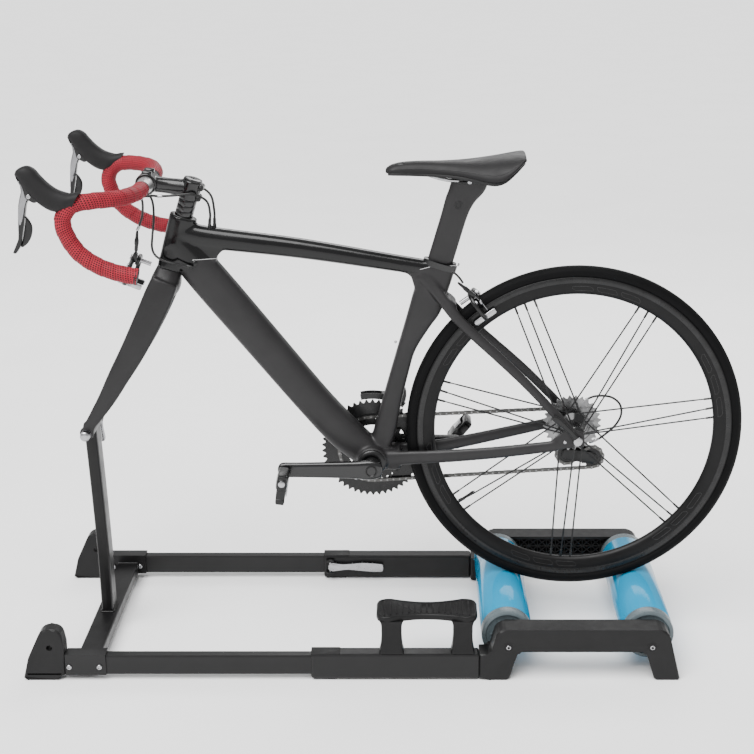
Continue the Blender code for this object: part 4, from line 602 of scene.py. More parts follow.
def stand():
    repaint("steel", "front_rail_left", "front_rail_right", "rear_sleeve_left", "rear_sleeve_right",
            "front_frame_and_post")
    repaint("plastic", "front_foot_left", "front_foot_right", "roller_housing_left", "roller_housing_right")
    repaint("silver", "fork_skewer", "front_roller_axle", "rear_roller_axle")
    screws, pads, ribs, welds = [], [], [], []
    weld_z = 0.0366
    for _, side in SIDES:
        out, inner = side * 0.2400, side * 0.2085
        for x, back in ((-0.6140, 0.2100), (-0.5559, 0.2115)):
            screws.append(bolt((x, out, 0.0289), (0, side, 0), 0.0052, 0.0032))
            screws.append(bolt((x, side * back, 0.0289), (0, -side, 0), 0.0052, 0.0030))
        for x in (WHEEL_X - ROLLER_SPREAD, WHEEL_X + ROLLER_SPREAD):
            screws.append(bolt((x, side * 0.2385, ROLLER_Z), (0, side, 0), 0.0050, 0.0030))
            pads.append(spun([(0.0105, 0), (0.0105, -0.0004), (0.0080, -0.0010), (0.0060, -0.0010)],
                             (x, out, ROLLER_Z), (0, -side, 0), 32))
        # isogrid ribs in the recess on each housing's inner face
        low_x, high_x, low_z, high_z = 0.262, 0.478, 0.0670, 0.1010
        y0, y1 = sorted((side * 0.2345, side * 0.1975))
        rows, cols = 2, 11
        dx, dz = (high_x - low_x) / cols, (high_z - low_z) / rows
        for i in range(rows + 1):
            z = low_z + dz * i
            if 0 < i < rows:
                ribs.append(block((low_x, y0, z - 0.0009), (high_x, y1, z + 0.0009), 0.0003, 1))
        for i in range(rows):
            for j in range(cols):
                xa, za = low_x + dx * j, low_z + dz * i
                for flip in (0, 1):
                    a = Vector((xa, 0, za + (dz if flip else 0)))
                    b = Vector((xa + dx, 0, za + (0 if flip else dz)))
                    n = Vector((-(b.z - a.z), 0, b.x - a.x)).normalized() * 0.0007
                    ribs.append(plate([(p.x, p.z) for p in (a - n, b - n, b + n, a + n)], y0, y1))
                ribs.append(block((xa - 0.0008, y0, za), (xa + 0.0008, y1, za + dz), 0.0003, 1))
        # rubber treads under the feet, and a raised rib along the front foot
        for x0, x1, edge in ((0.2010, 0.2280, 0.1965), (0.5180, 0.5590, 0.1965), (-0.6900, -0.6430, 0.2120)):
            y0, y1 = sorted((side * 0.2385, side * edge))
            pads.append(block((x0, y0, 0.0), (x1, y1, 0.0012), 0.0004, 1))
        pads.append(plate(rounded([(-0.6965, 0.0120, 0.002), (-0.6300, 0.0120, 0.002),
                                   (-0.6300, 0.0150, 0.001),
                                   (-0.6958, 0.0150, 0.001)]), *sorted((out, out + side * -0.0004))))
        # the moulded collar at the front of each sleeve, with the clamp's screw
        y0, y1 = sorted((out, inner))
        pads.append(block((-0.1491, y0 + 0.0015, 0.0535), (-0.0930, y1 - 0.0015, 0.0562), 0.0012, 3))
        pads.append(spun([(0.0055, 0), (0.0055, 0.0010), (0.0040, 0.0016)], (-0.1345, side * 0.20325, 0.0470),
                         UP, 24))
        # weld beads where the beam meets its clasps
        path = [Vector((mix(-0.6040, -0.5610, k / 18), side * 0.2112, weld_z + 0.0002 * math.sin(k)))
                for k in range(19)]
        welds.append(tube(path, [0.0016 + 0.0004 * (k % 2) for k in range(19)], 10))
    # and round the foot of the post
    for sx in (-1, 1):
        path = [Vector((-0.5823 + sx * 0.0128, mix(-0.0215, 0.0215, t / 16), weld_z)) for t in range(17)]
        welds.append(tube(path, [0.0017 + 0.0005 * (k % 2) for k in range(17)], 10))
    for sy in (-1, 1):
        path = [Vector((mix(-0.5945, -0.5700, t / 10), sy * 0.0228, weld_z)) for t in range(11)]
        welds.append(tube(path, [0.0017 + 0.0005 * (k % 2) for k in range(11)], 10))
    collar = [spun([(0.0136, -0.0010), (0.0139, 0), (0.0136, 0.0010)], (FORK_AXLE.x, y, FORK_AXLE.z), Y, 40)
              for y in (-0.0484, 0.0484)]
    make("stand_screws", "stand", "silver", screws)
    make("stand_pads_and_collars", "stand", "plastic", pads)
    make("housing_ribs", "stand", "plastic", ribs, angle=20)
    make("weld_beads", "stand", "steel", welds + collar)


def lock_levers():
    for word, side in SIDES:
        edge = [(-0.1390, 0.0320), (-0.1375, 0.0250), (-0.1310, 0.0222), (-0.1150, 0.0242), (-0.0950, 0.0262),
                (-0.0700, 0.0238), (-0.0450, 0.0216), (-0.0220, 0.0214), (-0.0186, 0.0240), (-0.0182, 0.0300),
                (-0.0186, 0.0370), (-0.0230, 0.0392), (-0.0450, 0.0412), (-0.0650, 0.0420), (-0.0850, 0.0402),
                (-0.1050, 0.0388), (-0.1200, 0.0402), (-0.1310, 0.0420), (-0.1372, 0.0390), (-0.1390, 0.0320)]
        outline = [Vector(p) for p in smooth_values(edge, 4)[:-1]]
        y0, y1 = sorted((side * 0.2069, side * 0.1995))
        grip = plate(outline, y0, y1, 0.0016)
        pin = spun([(0.0022, -0.0150), (0.0030, -0.0145), (0.0030, 0.0135), (0.0022, 0.0140)],
                   (-0.1345, side * 0.20325, 0.0320), UP, 20)
        make(f"lock_lever_{word}_shaped", f"lock_lever_{word}", "silver", [grip, pin],
             replaces=[f"rail_lock_lever_{word}"])


def footstep():
    y_mid, top, under = -0.1985, 0.1340, 0.1215
    low_x, high_x = -0.0228, 0.1711
    middle = (low_x + high_x) / 2
    near, far = [], []
    steps = 72
    for i in range(steps + 1):
        x = mix(low_x, high_x, i / steps)
        reach = abs(x - middle) / (middle - low_x)
        waist = 0.0280 + 0.0125 * min(1, (reach / 0.75) ** 2)
        corner = math.sqrt(max(0.0, 1 - max(0, (reach - 0.8) / 0.2) ** 2))
        half = waist * (0.55 + 0.45 * corner)
        near.append((x, y_mid - half))
        far.append((x, y_mid + half))
    loop = near + far[::-1]
    centre = Vector((middle, y_mid, 0))

    def ring(inset, z):
        points = []
        for x, y in loop:
            out = Vector((x, y, 0)) - centre
            points.append(Vector((x, y, z)) - out.normalized() * inset)
        return points

    rings = [ring(0.004, under), ring(0.0010, under + 0.001), ring(0.0, under + 0.0035),
             ring(0.0, top - 0.0035),
             ring(0.0010, top - 0.001), ring(0.0040, top), ring(0.0065, top), ring(0.0075, top - 0.0010)]
    parts = [skin(rings)]
    for x0, x1 in ((-0.0137, 0.0265), (0.1240, 0.1625)):
        legs = []
        for z, flare in ((0.0555, 0.0036), (0.0590, 0.0034), (0.0650, 0.0018), (0.0750, 0.0004),
                         (0.0900, -0.0006),
                         (0.1120, -0.0004), (0.1190, 0.0010), (0.1235, 0.0030)):
            legs.append(superellipse(Vector(((x0 + x1) / 2, -0.2242, z)), X, Y, (x1 - x0) / 2 + flare,
                                     0.0136 + flare / 2.4, 40, 7))
        parts.append(skin(legs))
    make("footstep_shaped", "stand", "plastic", parts, replaces=["side_step"], angle=50)
    ridges = []
    for i in range(15):
        x = mix(low_x + 0.016, high_x - 0.016, i / 14)
        reach = abs(x - middle) / (middle - low_x)
        half = (0.0280 + 0.0125 * min(1, (reach / 0.75) ** 2)) - 0.011
        ridges.append(block((x - 0.0016, y_mid - half, top - 0.0016), (x + 0.0016, y_mid + half, top - 0.0001),
                            0.0005, 2))
    make("footstep_grip_ridges", "stand", "hood", ridges)


def rollers():
    for word, x in (("front", WHEEL_X - ROLLER_SPREAD), ("rear", WHEEL_X + ROLLER_SPREAD)):
        place = Vector((x, 0, ROLLER_Z))
        half, r, cap = 0.187, 0.0500, 0.1650
        drum = spun([(r - 0.0004, -cap), (r, -cap + 0.0006), (r, cap - 0.0006), (r - 0.0004, cap)], place, Y,
                    128)
        make(f"{word}_roller_drum", f"{word}_roller", "blue", [drum], replaces=[f"{word}_roller"])
        ends = []
        for sy in (-1, 1):
            profile = [(r - 0.0006, cap - 0.0002), (r - 0.0001, cap + 0.0004), (r - 0.0001, half - 0.0040),
                       (r - 0.0012, half - 0.0012), (r - 0.0040, half), (r - 0.0080, half),
                       (r - 0.0095, half - 0.0035),
                       (0.0200, half - 0.0060), (0.0180, half - 0.0020), (0.0130, half - 0.0010),
                       (0.0120, half + 0.0036), (0.0060, half + 0.0040), (0.0052, half + 0.0030)]
            ends.append(spun(profile, place, Vector((0, sy, 0)), 96))
            for k in range(6):
                a = math.pi / 3 * k
                mid = place + Vector((0.030 * math.cos(a), sy * (half - 0.0046), 0.030 * math.sin(a)))
                ends.append(spun([(0.0022, 0), (0.0022, 0.0010), (0.0012, 0.0016)], mid, Vector((0, sy, 0)),
                                 14))
        make(f"{word}_roller_end_caps", f"{word}_roller", "cap", ends)


# ---------------------------------------------------------------- frame

def head_stations(beyond=0.0):
    out = []
    for s, depth, width in ((-0.108 - beyond, 0.0245, 0.0215), (-0.080, 0.0245, 0.0195),
                            (-0.040, 0.0255, 0.0185),
                            (0.0, 0.0270, 0.0205)):
        p = HEAD_POINT + HEAD_UP * s
        out.append((p.x, p.z, depth, width))
    return out


def seat_section(height, depth=0.0245, width=0.0095, sides=40):
    centre = Vector((0.1078, 0, 0.8000)) + SEAT_UP * ((height - 0.8000) / SEAT_UP.z)
    return superellipse(centre, SEAT_BACK, Y, depth, width, sides, 2.3)


def main_frame():
    parts = [oval_tube(head_stations())]
    parts.append(oval_tube(((-0.3980, 0.8310, 0.0222, 0.0190), (-0.3400, 0.8195, 0.0215, 0.0200),
                            (-0.1700, 0.7990, 0.0195, 0.0195), (0.0100, 0.7705, 0.0165, 0.0178),
                            (0.1000, 0.7560, 0.0160, 0.0165))))
    parts.append(oval_tube(((-0.4120, 0.8180, 0.0300, 0.0195), (-0.3566, 0.7488, 0.0370, 0.0222),
                            (-0.2500, 0.6157, 0.0362, 0.0242), (-0.1490, 0.4896, 0.0347, 0.0262),
                            (-0.0900, 0.4230, 0.0347, 0.0300), (-0.0400, 0.3780, 0.0300, 0.0340)), power=2.6))
    edges = ((0.3850, -0.0440, 0.0020, 0.0200), (0.4295, -0.0310, 0.0150, 0.0172),
             (0.4896, -0.0143, 0.0257, 0.0152),
             (0.5500, 0.0025, 0.0400, 0.0152), (0.5948, 0.0152, 0.0530, 0.0156),
             (0.6400, 0.0280, 0.0800, 0.0165),
             (0.6729, 0.0372, 0.1020, 0.0172), (0.7267, 0.0522, 0.1200, 0.0172),
             (0.7700, 0.0680, 0.1330, 0.0166))
    rings = []
    for z, front, rear, width in smooth_values(edges, 5):
        rings.append(superellipse(Vector(((front + rear) / 2, 0, z)), X, Y, (rear - front) / 2, width, 48,
                                  2.5))
    parts.append(skin(rings))
    # webs that round the inside corners
    parts.append(plate(rounded([(-0.4000, 0.8100, 0), (-0.4000, 0.7600, 0), (-0.3420, 0.7550, 0),
                                (-0.3270, 0.7880, 0.010),
                                (-0.3080, 0.8070, 0.006), (-0.3100, 0.8200, 0)]), -0.0150, 0.0150, 0.004))
    parts.append(plate(rounded([(0.0100, 0.7760, 0), (0.0100, 0.7580, 0.010), (0.0430, 0.7480, 0.010),
                                (0.0520, 0.7150, 0),
                                (0.0900, 0.7200, 0), (0.0900, 0.7760, 0)]), -0.0125, 0.0125, 0.004))
    parts.append(spun([(0.0285, -0.0400), (0.0300, -0.0385), (0.0300, 0.0385), (0.0285, 0.0400)], BB, Y, 64))
    parts.append(block((-0.030, -0.0300, 0.3500), (0.0240, 0.0300, 0.3920), 0.008, 4))
    for _, side in SIDES:
        low = [(-0.010, side * 0.0260, 0.3740), (0.045, side * 0.0262, 0.3775), (0.120, side * 0.0340, 0.3840),
               (0.220, side * 0.0520, 0.3990), (0.330, side * 0.0679, 0.4185)]
        path = smooth_values(low, 2)
        parts.append(oval_tube([(p[0], p[2], mix(0.0155, 0.0115, i / 8), mix(0.0076, 0.0062, i / 8), p[1])
                                for i, p in enumerate(path)], 4, 28, 2.6))
        high = [(0.0600, side * 0.0080, 0.7480), (0.0850, side * 0.0150, 0.7270),
                (0.1356, side * 0.0330, 0.6648), (0.2100, side * 0.0420, 0.5950),
                (0.2750, side * 0.0540, 0.5341), (0.3560, side * 0.0679, 0.4480)]
        path = smooth_values(high, 2)
        last = len(path) - 1
        parts.append(oval_tube([(p[0], p[2], mix(0.0122, 0.0090, i / last), mix(0.0090, 0.0060, i / last),
                                 p[1])
                                for i, p in enumerate(path)], 4, 28, 2.6))
        y0, y1 = sorted((side * 0.0654, side * 0.0704))
        x, z = WHEEL_X, WHEEL_Z
        parts.append(plate(rounded([(x - 0.048, z - 0.019, 0.004), (x - 0.0056, z - 0.018, 0.002),
                                    (x - 0.0056, z + 0.001, 0.004), (x + 0.0056, z + 0.001, 0.004),
                                    (x + 0.0056, z - 0.018, 0.002), (x + 0.016, z - 0.014, 0.004),
                                    (x + 0.014, z + 0.016, 0.008), (x - 0.014, z + 0.026, 0.006),
                                    (x - 0.048, z + 0.004, 0.006)]), y0, y1))
    parts.append(plate(rounded([(0.1080, 0.6930, 0.004), (0.1230, 0.6800, 0.004), (0.1340, 0.6900, 0.004),
                                (0.1190, 0.7050, 0.004)]), -0.0290, 0.0290, 0.003))
    skin_obj = make("frame_skin", "main_frame", "frame", parts,
                    replaces=["head_tube", "top_tube", "down_tube", "seat_tube", "rear_triangle"])
    fuse(skin_obj, 0.0022, 14, 0.6)
    # headset, seat clamp, shell cups and cable ports
    rings = []
    for s, a, b in ((-0.0010, 0.0262, 0.0198), (0.0002, 0.0262, 0.0198), (0.0012, 0.0250, 0.0192),
                    (0.0018, 0.0190, 0.0182)):
        back = HEAD_UP.cross(Y)
        rings.append(superellipse(HEAD_POINT + HEAD_UP * s, back, Y, a, b, 48, 2.2))
    extra = [skin(rings)]
    for side in (-1, 1):
        extra.append(spun([(0.0265, 0), (0.0270, 0.0008), (0.0270, 0.0060), (0.0240, 0.0085), (0.0190, 0.0088),
                           (0.0175, 0.0070)], BB + Y * side * 0.0396, Y * side, 48))
    for side in (-1, 1):
        extra.append(spun([(0.0050, -0.002), (0.0052, 0.0010), (0.0036, 0.0022)],
                          Vector((-0.3700, side * 0.0212, 0.7740)), (0.35, side, 0.1), 20))
    extra.append(spun([(0.0055, -0.003), (0.0055, 0.0010), (0.0036, 0.0024)], Vector((-0.3400, 0, 0.8405)),
                      UP, 20))
    for x, y, z in ((-0.3420, -0.0060, 0.8470), (-0.3340, 0.0060, 0.8460)):
        extra.append(spun([(0.0024, 0.0012), (0.0034, 0.0), (0.0036, -0.0060), (0.0052, -0.0085),
                           (0.0052, -0.0120)],
                          (x, y, z), UP, 24))
    make("frame_fittings", "main_frame", "satin", extra)
    collar_rings = []
    for h, g in ((0.7600, 0.0006), (0.7604, 0.0018), (0.7715, 0.0018), (0.7725, 0.0004)):
        base = Vector((0.1005 + (h - 0.7700) * 0.29, 0, h))
        collar_rings.append(superellipse(base, SEAT_BACK, Y, 0.0318 + g, 0.0158 + g, 48, 2.5))
    make("seat_collar", "main_frame", "gloss", [skin(collar_rings)])
    make("seat_collar_bolt", "main_frame", "silver",
         [bolt((0.1345, 0, 0.7665), (0.95, 0, -0.28), 0.0032, 0.003),
          bolt((0.0135, -0.0155, 0.6150), (0, -1, 0), 0.0028, 0.0015)])
    dropouts = [bolt((WHEEL_X - 0.024, side * 0.0704, WHEEL_Z - 0.004), (0, side, 0), 0.0030, 0.0012)
                for side in (-1, 1)]
    make("dropout_screws", "main_frame", "silver", dropouts)


def fork():
    crown_top = HEAD_POINT + HEAD_UP * -0.1086
    stations = []
    for s, depth, width in ((0.003, 0.0234, 0.0205), (0, 0.0242, 0.0215), (-0.010, 0.0262, 0.0300),
                            (-0.024, 0.0290, 0.0390),
                            (-0.038, 0.0280, 0.0430), (-0.050, 0.0215, 0.0410), (-0.057, 0.0110, 0.0350)):
        p = crown_top + HEAD_UP * s
        stations.append((p.x, p.z, depth, width))
    parts = [oval_tube(stations, 5, 40, 2.6)]
    parts.append(tube([crown_top - HEAD_UP * 0.02, HEAD_POINT + HEAD_UP * 0.0715], 0.0141, 28))
    x, z = FORK_AXLE.x, FORK_AXLE.z
    for _, side in SIDES:
        blade = [(-0.4290, 0.7420, 0.0260, 0.0110, 0.0290), (-0.4420, 0.7120, 0.0280, 0.0116, 0.0345),
                 (-0.4640, 0.6650, 0.0272, 0.0112, 0.0400), (-0.4950, 0.6050, 0.0245, 0.0100, 0.0460),
                 (-0.5250, 0.5535, 0.0210, 0.0085, 0.0492), (-0.5520, 0.5060, 0.0170, 0.0068, 0.0515),
                 (-0.5900, 0.4490, 0.0108, 0.0046, 0.0538)]
        parts.append(oval_tube([(*b[:4], side * b[4]) for b in blade], 5, 32, 2.4))
        y0, y1 = sorted((side * 0.0500, side * 0.0575))
        parts.append(plate(rounded([(x - 0.011, z - 0.010, 0.003), (x - 0.0052, z - 0.010, 0.001),
                                    (x - 0.0052, z + 0.0015, 0.004), (x + 0.0052, z + 0.0015, 0.004),
                                    (x + 0.0052, z - 0.010, 0.001), (x + 0.012, z - 0.008, 0.003),
                                    (x + 0.020, z + 0.024, 0.004), (x - 0.004, z + 0.026, 0.004)]), y0, y1))
    obj = make("fork_skin", "front_end", "charcoal", parts, replaces=["fork"])
    fuse(obj, 0.0018, 18, 0.6)
    plug = []
    for side in (-1, 1):
        plug.append(spun([(0.0085, -0.004), (0.0085, 0.0006), (0.0078, 0.0014), (0.0055, 0.0014),
                          (0.0050, 0.0002),
                          (0.0030, 0.0002)], (-0.4378, side * 0.0405, 0.7262), (-0.05, side, 0.10), 36))
    make("crown_plugs", "front_end", "satin", plug)
    make("fork_tip_faces", "front_end", "silver",
         [spun([(0.0098, 0), (0.0100, 0.0003), (0.0100, 0.0010), (0.0060, 0.0012), (0.0056, 0.0004)],
               (x, side * 0.0572, z), (0, side, 0), 40) for side in (-1, 1)])


def stem():
    s = HEAD_POINT
    spacers = []
    for k in range(3):
        a, b = 0.0015 + 0.0110 * k, 0.0015 + 0.0110 * (k + 1) - 0.0004
        spacers.append(spun([(0.0150, a), (0.0172, a), (0.0175, a + 0.0005), (0.0175, b - 0.0005), (0.0172, b),
                             (0.0150, b)], s, HEAD_UP, 56))
    collar = spun([(0.0150, 0.0345), (0.0186, 0.0347), (0.0194, 0.0365), (0.0194, 0.0700), (0.0186, 0.0718),
                   (0.0150, 0.0720)], s, HEAD_UP, 56)
    cap = spun([(0.0150, 0.0718), (0.0180, 0.0720), (0.0183, 0.0733), (0.0172, 0.0758), (0.0140, 0.0768),
                (0.0060, 0.0765), (0.0050, 0.0745), (0.0030, 0.0745)], s, HEAD_UP, 56)
    axis_at = s + HEAD_UP * 0.0545
    reach = (BAR_CENTRE - axis_at)
    rings = []
    for t, a, b in smooth_values(((0.00, 0.0170, 0.0165), (0.25, 0.0165, 0.0160), (0.5, 0.0150, 0.0148),
                                  (0.75, 0.0152, 0.0165), (1.0, 0.0165, 0.0205)), 4):
        rings.append(superellipse(axis_at + reach * t, UP, Y, a, b, 40, 2.6))
    arm = skin(rings)
    clamp = spun([(0.0162, -0.0215), (0.0195, -0.0215), (0.0205, -0.0200), (0.0205, 0.0200), (0.0195, 0.0215),
                  (0.0162, 0.0215)], BAR_CENTRE, Y, 64)
    obj = make("stem_skin", "front_end", "gloss", [collar, arm, clamp], replaces=["stem"])
    fuse(obj, 0.0011, 5, 0.5)
    make("headset_spacers", "front_end", "gloss", spacers + [cap])
    # faceplate lugs with their four screws, and the two pinch screws behind the steerer
    forward = (BAR_CENTRE - axis_at).normalized()
    rise = forward.cross(Y) * -1
    bits, screws = [], []
    for sy in (-1, 1):
        for sz in (-1, 1):
            lug = BAR_CENTRE + Y * sy * 0.0155 + rise * sz * 0.0205 - forward * 0.001
            bits.append(spun([(0.0042, -0.0075), (0.0050, -0.0060), (0.0050, 0.0080), (0.0040, 0.0095)], lug,
                             forward, 24))
            screws.append(bolt(lug + forward * 0.0095, forward, 0.0034, 0.0022))
    for h in (0.0430, 0.0640):
        lug = s + HEAD_UP * h + HEAD_UP.cross(Y) * -0.0185
        bits.append(spun([(0.0050, -0.0125), (0.0060, -0.0115), (0.0060, 0.0115), (0.0050, 0.0125)], lug, Y,
                         24))
        screws.append(bolt(lug + Y * -0.0125, (0, -1, 0), 0.0036, 0.0020))
    screws.append(bolt(s + HEAD_UP * 0.0750, HEAD_UP, 0.0046, 0.0022))
    make("stem_lugs", "front_end", "gloss", bits)
    make("stem_screws", "front_end", "satin", screws)


def bar_points(side):
    bend, x, z, w = BAR_CENTRE.x, -0.4445, 0.9265, BAR_HALF
    points = [(bend, 0, z), (bend, 0.030, z), (bend - 0.0005, 0.060, z), (x - 0.0175, 0.115, z + 0.001),
              (x - 0.038, 0.170, z + 0.003),
              (x - 0.080, 0.200, z + 0.004), (x - 0.112, w - 0.002, z - 0.002), (x - 0.129, w, z - 0.024),
              (x - 0.126, w, z - 0.052), (x - 0.106, w, z - 0.086), (x - 0.076, w, z - 0.109),
              (x - 0.042, w, z - 0.123), (x - 0.002, w, z - 0.132)]
    return [(px, side * py, pz) for px, py, pz in points]


def handlebar():
    middle = [p for p in curve_through(bar_points(-1)[::-1] + bar_points(1)[1:], 8) if abs(p.y) < 0.085]
    radii = [mix(0.0116, 0.0159, max(0.0, 1 - max(0.0, abs(p.y) - 0.030) / 0.030)) for p in middle]
    make("bar_middle", "front_end", "bar", [tube(middle, radii, 40)], replaces=["handlebar"])
    for word, side in SIDES:
        path = [p for p in curve_through(bar_points(side), 40) if side * p.y > 0.060]
        frames = carried(path)
        lengths = [0.0]
        for a, b in zip(path, path[1:]):
            lengths.append(lengths[-1] + (b - a).length)
        sides, pitch = 36, 0.024
        rings = []
        for p, (u, v), run in zip(path, frames, lengths):
            ring = []
            for j in range(sides):
                turn = j / sides
                lap = ((run / pitch) + side * turn) % 1.0
                r = 0.0146 + 0.0009 * lap if lap < 0.93 else 0.0146 + 0.0009 * (1 - (lap - 0.93) / 0.07)
                if run < 0.006:
                    r = mix(0.0122, r, run / 0.006)
                a = 2 * math.pi * turn
                ring.append(p + u * math.cos(a) * r + v * math.sin(a) * r)
            rings.append(ring)
        round_length = 2 * math.pi * 0.015
        wraps = skin(rings, uv=lambda i,
                     j: (lengths[min(i, len(lengths) - 1)] + 0.35 * round_length * j / sides,
                                             round_length * j / sides))
        make(f"bar_wrap_{word}", "front_end", "tape", [wraps], replaces=[f"bar_tape_{word}"],
             angle=60)
        end, before = path[-1], path[-6]
        out = (end - before).normalized()
        plug = spun([(0.0150, -0.001), (0.0153, 0.0010), (0.0146, 0.0028), (0.0110, 0.0040), (0.0050, 0.0042),
                     (0.0045, 0.0030)], end - out * 0.0035, out, 40)
        make(f"bar_plug_{word}", "front_end", "satin", [plug])
        start, after = path[0], path[5]
        way = (after - start).normalized()
        band = spun([(0.0120, -0.0085), (0.0128, -0.0080), (0.0138, 0.0030), (0.0140, 0.0055)], start, way, 40)
        make(f"tape_finish_{word}", "front_end", "hood", [band])


def hoods():
    for word, side in SIDES:
        y = side * BAR_HALF
        spine = ((-0.5480, 0.9345, 0.0165, 0.0150, 62), (-0.5600, 0.9322, 0.0195, 0.0160, 56),
                 (-0.5720, 0.9305, 0.0210, 0.0172, 52), (-0.5900, 0.9365, 0.0202, 0.0170, 58),
                 (-0.6080, 0.9500, 0.0198, 0.0162, 50), (-0.6220, 0.9660, 0.0188, 0.0158, 42),
                 (-0.6320, 0.9800, 0.0178, 0.0156, 32), (-0.6385, 0.9880, 0.0150, 0.0138, 26),
                 (-0.6408, 0.9918, 0.0100, 0.0100, 24), (-0.6416, 0.9932, 0.0040, 0.0040, 24))
        rings = []
        for x, z, high, wide, tilt in smooth_values(spine, 5):
            u = Vector((math.cos(math.radians(tilt)), 0, math.sin(math.radians(tilt))))
            rings.append(superellipse(Vector((x, y, z)), u, Y, high, wide, 44, 2.35))
        make(f"hood_{word}_skin", "front_end", "hood", [skin(rings)], replaces=[f"brake_hood_{word}"],
             angle=70)
        # the lever body that shows under the hood, in front of the lever's pivot
        mount = plate(rounded([(-0.6500, 0.9800, 0.001), (-0.6395, 0.9600, 0.004), (-0.6350, 0.9385, 0.004),
                               (-0.6190, 0.9300, 0.004), (-0.6060, 0.9420, 0.003), (-0.6260, 0.9760, 0.003)]),
                      y - 0.0098, y + 0.0098, 0.0025)
        make(f"lever_body_{word}", "front_end", "satin", [mount])
        pins = [bolt((-0.6294, y + s * 0.0100, 0.9427), (0, s, 0), 0.0042, 0.0018) for s in (-1, 1)]
        make(f"lever_pivot_{word}", "front_end", "silver", pins)
        # blade: dark body with a bright curved front
        outline = rounded([(-0.6530, 0.9830, 0.001), (-0.6494, 0.9723, 0), (-0.6440, 0.9617, 0.006),
                           (-0.6430, 0.9510, 0.008), (-0.6494, 0.9259, 0.02), (-0.6525, 0.8826, 0.03),
                           (-0.6541, 0.8644, 0.02), (-0.6670, 0.8378, 0.002), (-0.6597, 0.8389, 0.002),
                           (-0.6500, 0.8535, 0.02), (-0.6425, 0.8898, 0.04), (-0.6364, 0.9259, 0.02),
                           (-0.6321, 0.9350, 0.004), (-0.6220, 0.9385, 0.004), (-0.6215, 0.9474, 0.004),
                           (-0.6285, 0.9581, 0.02), (-0.6455, 0.9820, 0.001)], 6)
        blade = plate(outline, y - 0.0052, y + 0.0052, 0.0022)
        make(f"brake_blade_{word}", f"brake_lever_{word}", "satin", [blade], replaces=[f"brake_lever_{word}"],
             angle=50)
        rows = ((-0.6520, 0.9800, 0.0030), (-0.6478, 0.9700, 0.0040), (-0.6432, 0.9600, 0.0045),
                (-0.6428, 0.9500, 0.0048), (-0.6462, 0.9380, 0.0050), (-0.6494, 0.9240, 0.0052),
                (-0.6512, 0.9050, 0.0050), (-0.6520, 0.8930, 0.0046), (-0.6526, 0.8840, 0.0036),
                (-0.6530, 0.8790, 0.0020))
        rings = []
        for x, z, w in smooth_values(rows, 4):
            rings.append(superellipse(Vector((x + 0.0030, y, z)), X, Y, 0.0044, w + 0.0008, 24, 2.6))
        make(f"blade_front_{word}", f"brake_lever_{word}", "lever", [skin(rings)],
             angle=60)
        cheek = plate(rounded([(-0.6480, 0.9690, 0.001), (-0.6415, 0.9560, 0.004), (-0.6420, 0.9480, 0.004),
                               (-0.6478, 0.9260, 0.01), (-0.6500, 0.9000, 0.004), (-0.6470, 0.8900, 0.002),
                               (-0.6430, 0.9050, 0.01), (-0.6385, 0.9240, 0.01), (-0.6340, 0.9370, 0.004),
                               (-0.6250, 0.9400, 0.003), (-0.6240, 0.9460, 0.003), (-0.6300, 0.9560, 0.004),
                               (-0.6400, 0.9690, 0.002)], 5), y - 0.0058, y + 0.0058, 0.0010)
        make(f"blade_cheek_{word}", f"brake_lever_{word}", "lever", [cheek], angle=50)
        rows = ((-0.6390, 0.9050, 0.0012, 0.0030), (-0.6365, 0.8990, 0.0032, 0.0038),
                (-0.6352, 0.8900, 0.0062, 0.0034),
                (-0.6360, 0.8800, 0.0074, 0.0030), (-0.6390, 0.8680, 0.0072, 0.0030),
                (-0.6440, 0.8570, 0.0055, 0.0028),
                (-0.6490, 0.8500, 0.0022, 0.0020))
        rings = []
        for x, z, a, b in smooth_values(rows, 4):
            rings.append(superellipse(Vector((x, y, z)), X, Y, max(a, 0.0006), max(b, 0.0006), 24, 2.4))
        make(f"paddle_{word}_shaped", f"shift_paddle_{word}", "satin", [skin(rings)],
             replaces=[f"shift_paddle_{word}"], angle=60)


# ---------------------------------------------------------------- brakes

FRONT_BRAKE, FRONT_DOWN = Vector((-0.4860, 0, 0.7800)), Vector((-0.355, 0, -0.935)).normalized()
REAR_BRAKE, REAR_DOWN = Vector((0.1630, 0, 0.7080)), Vector((0.586, 0, -0.810)).normalized()


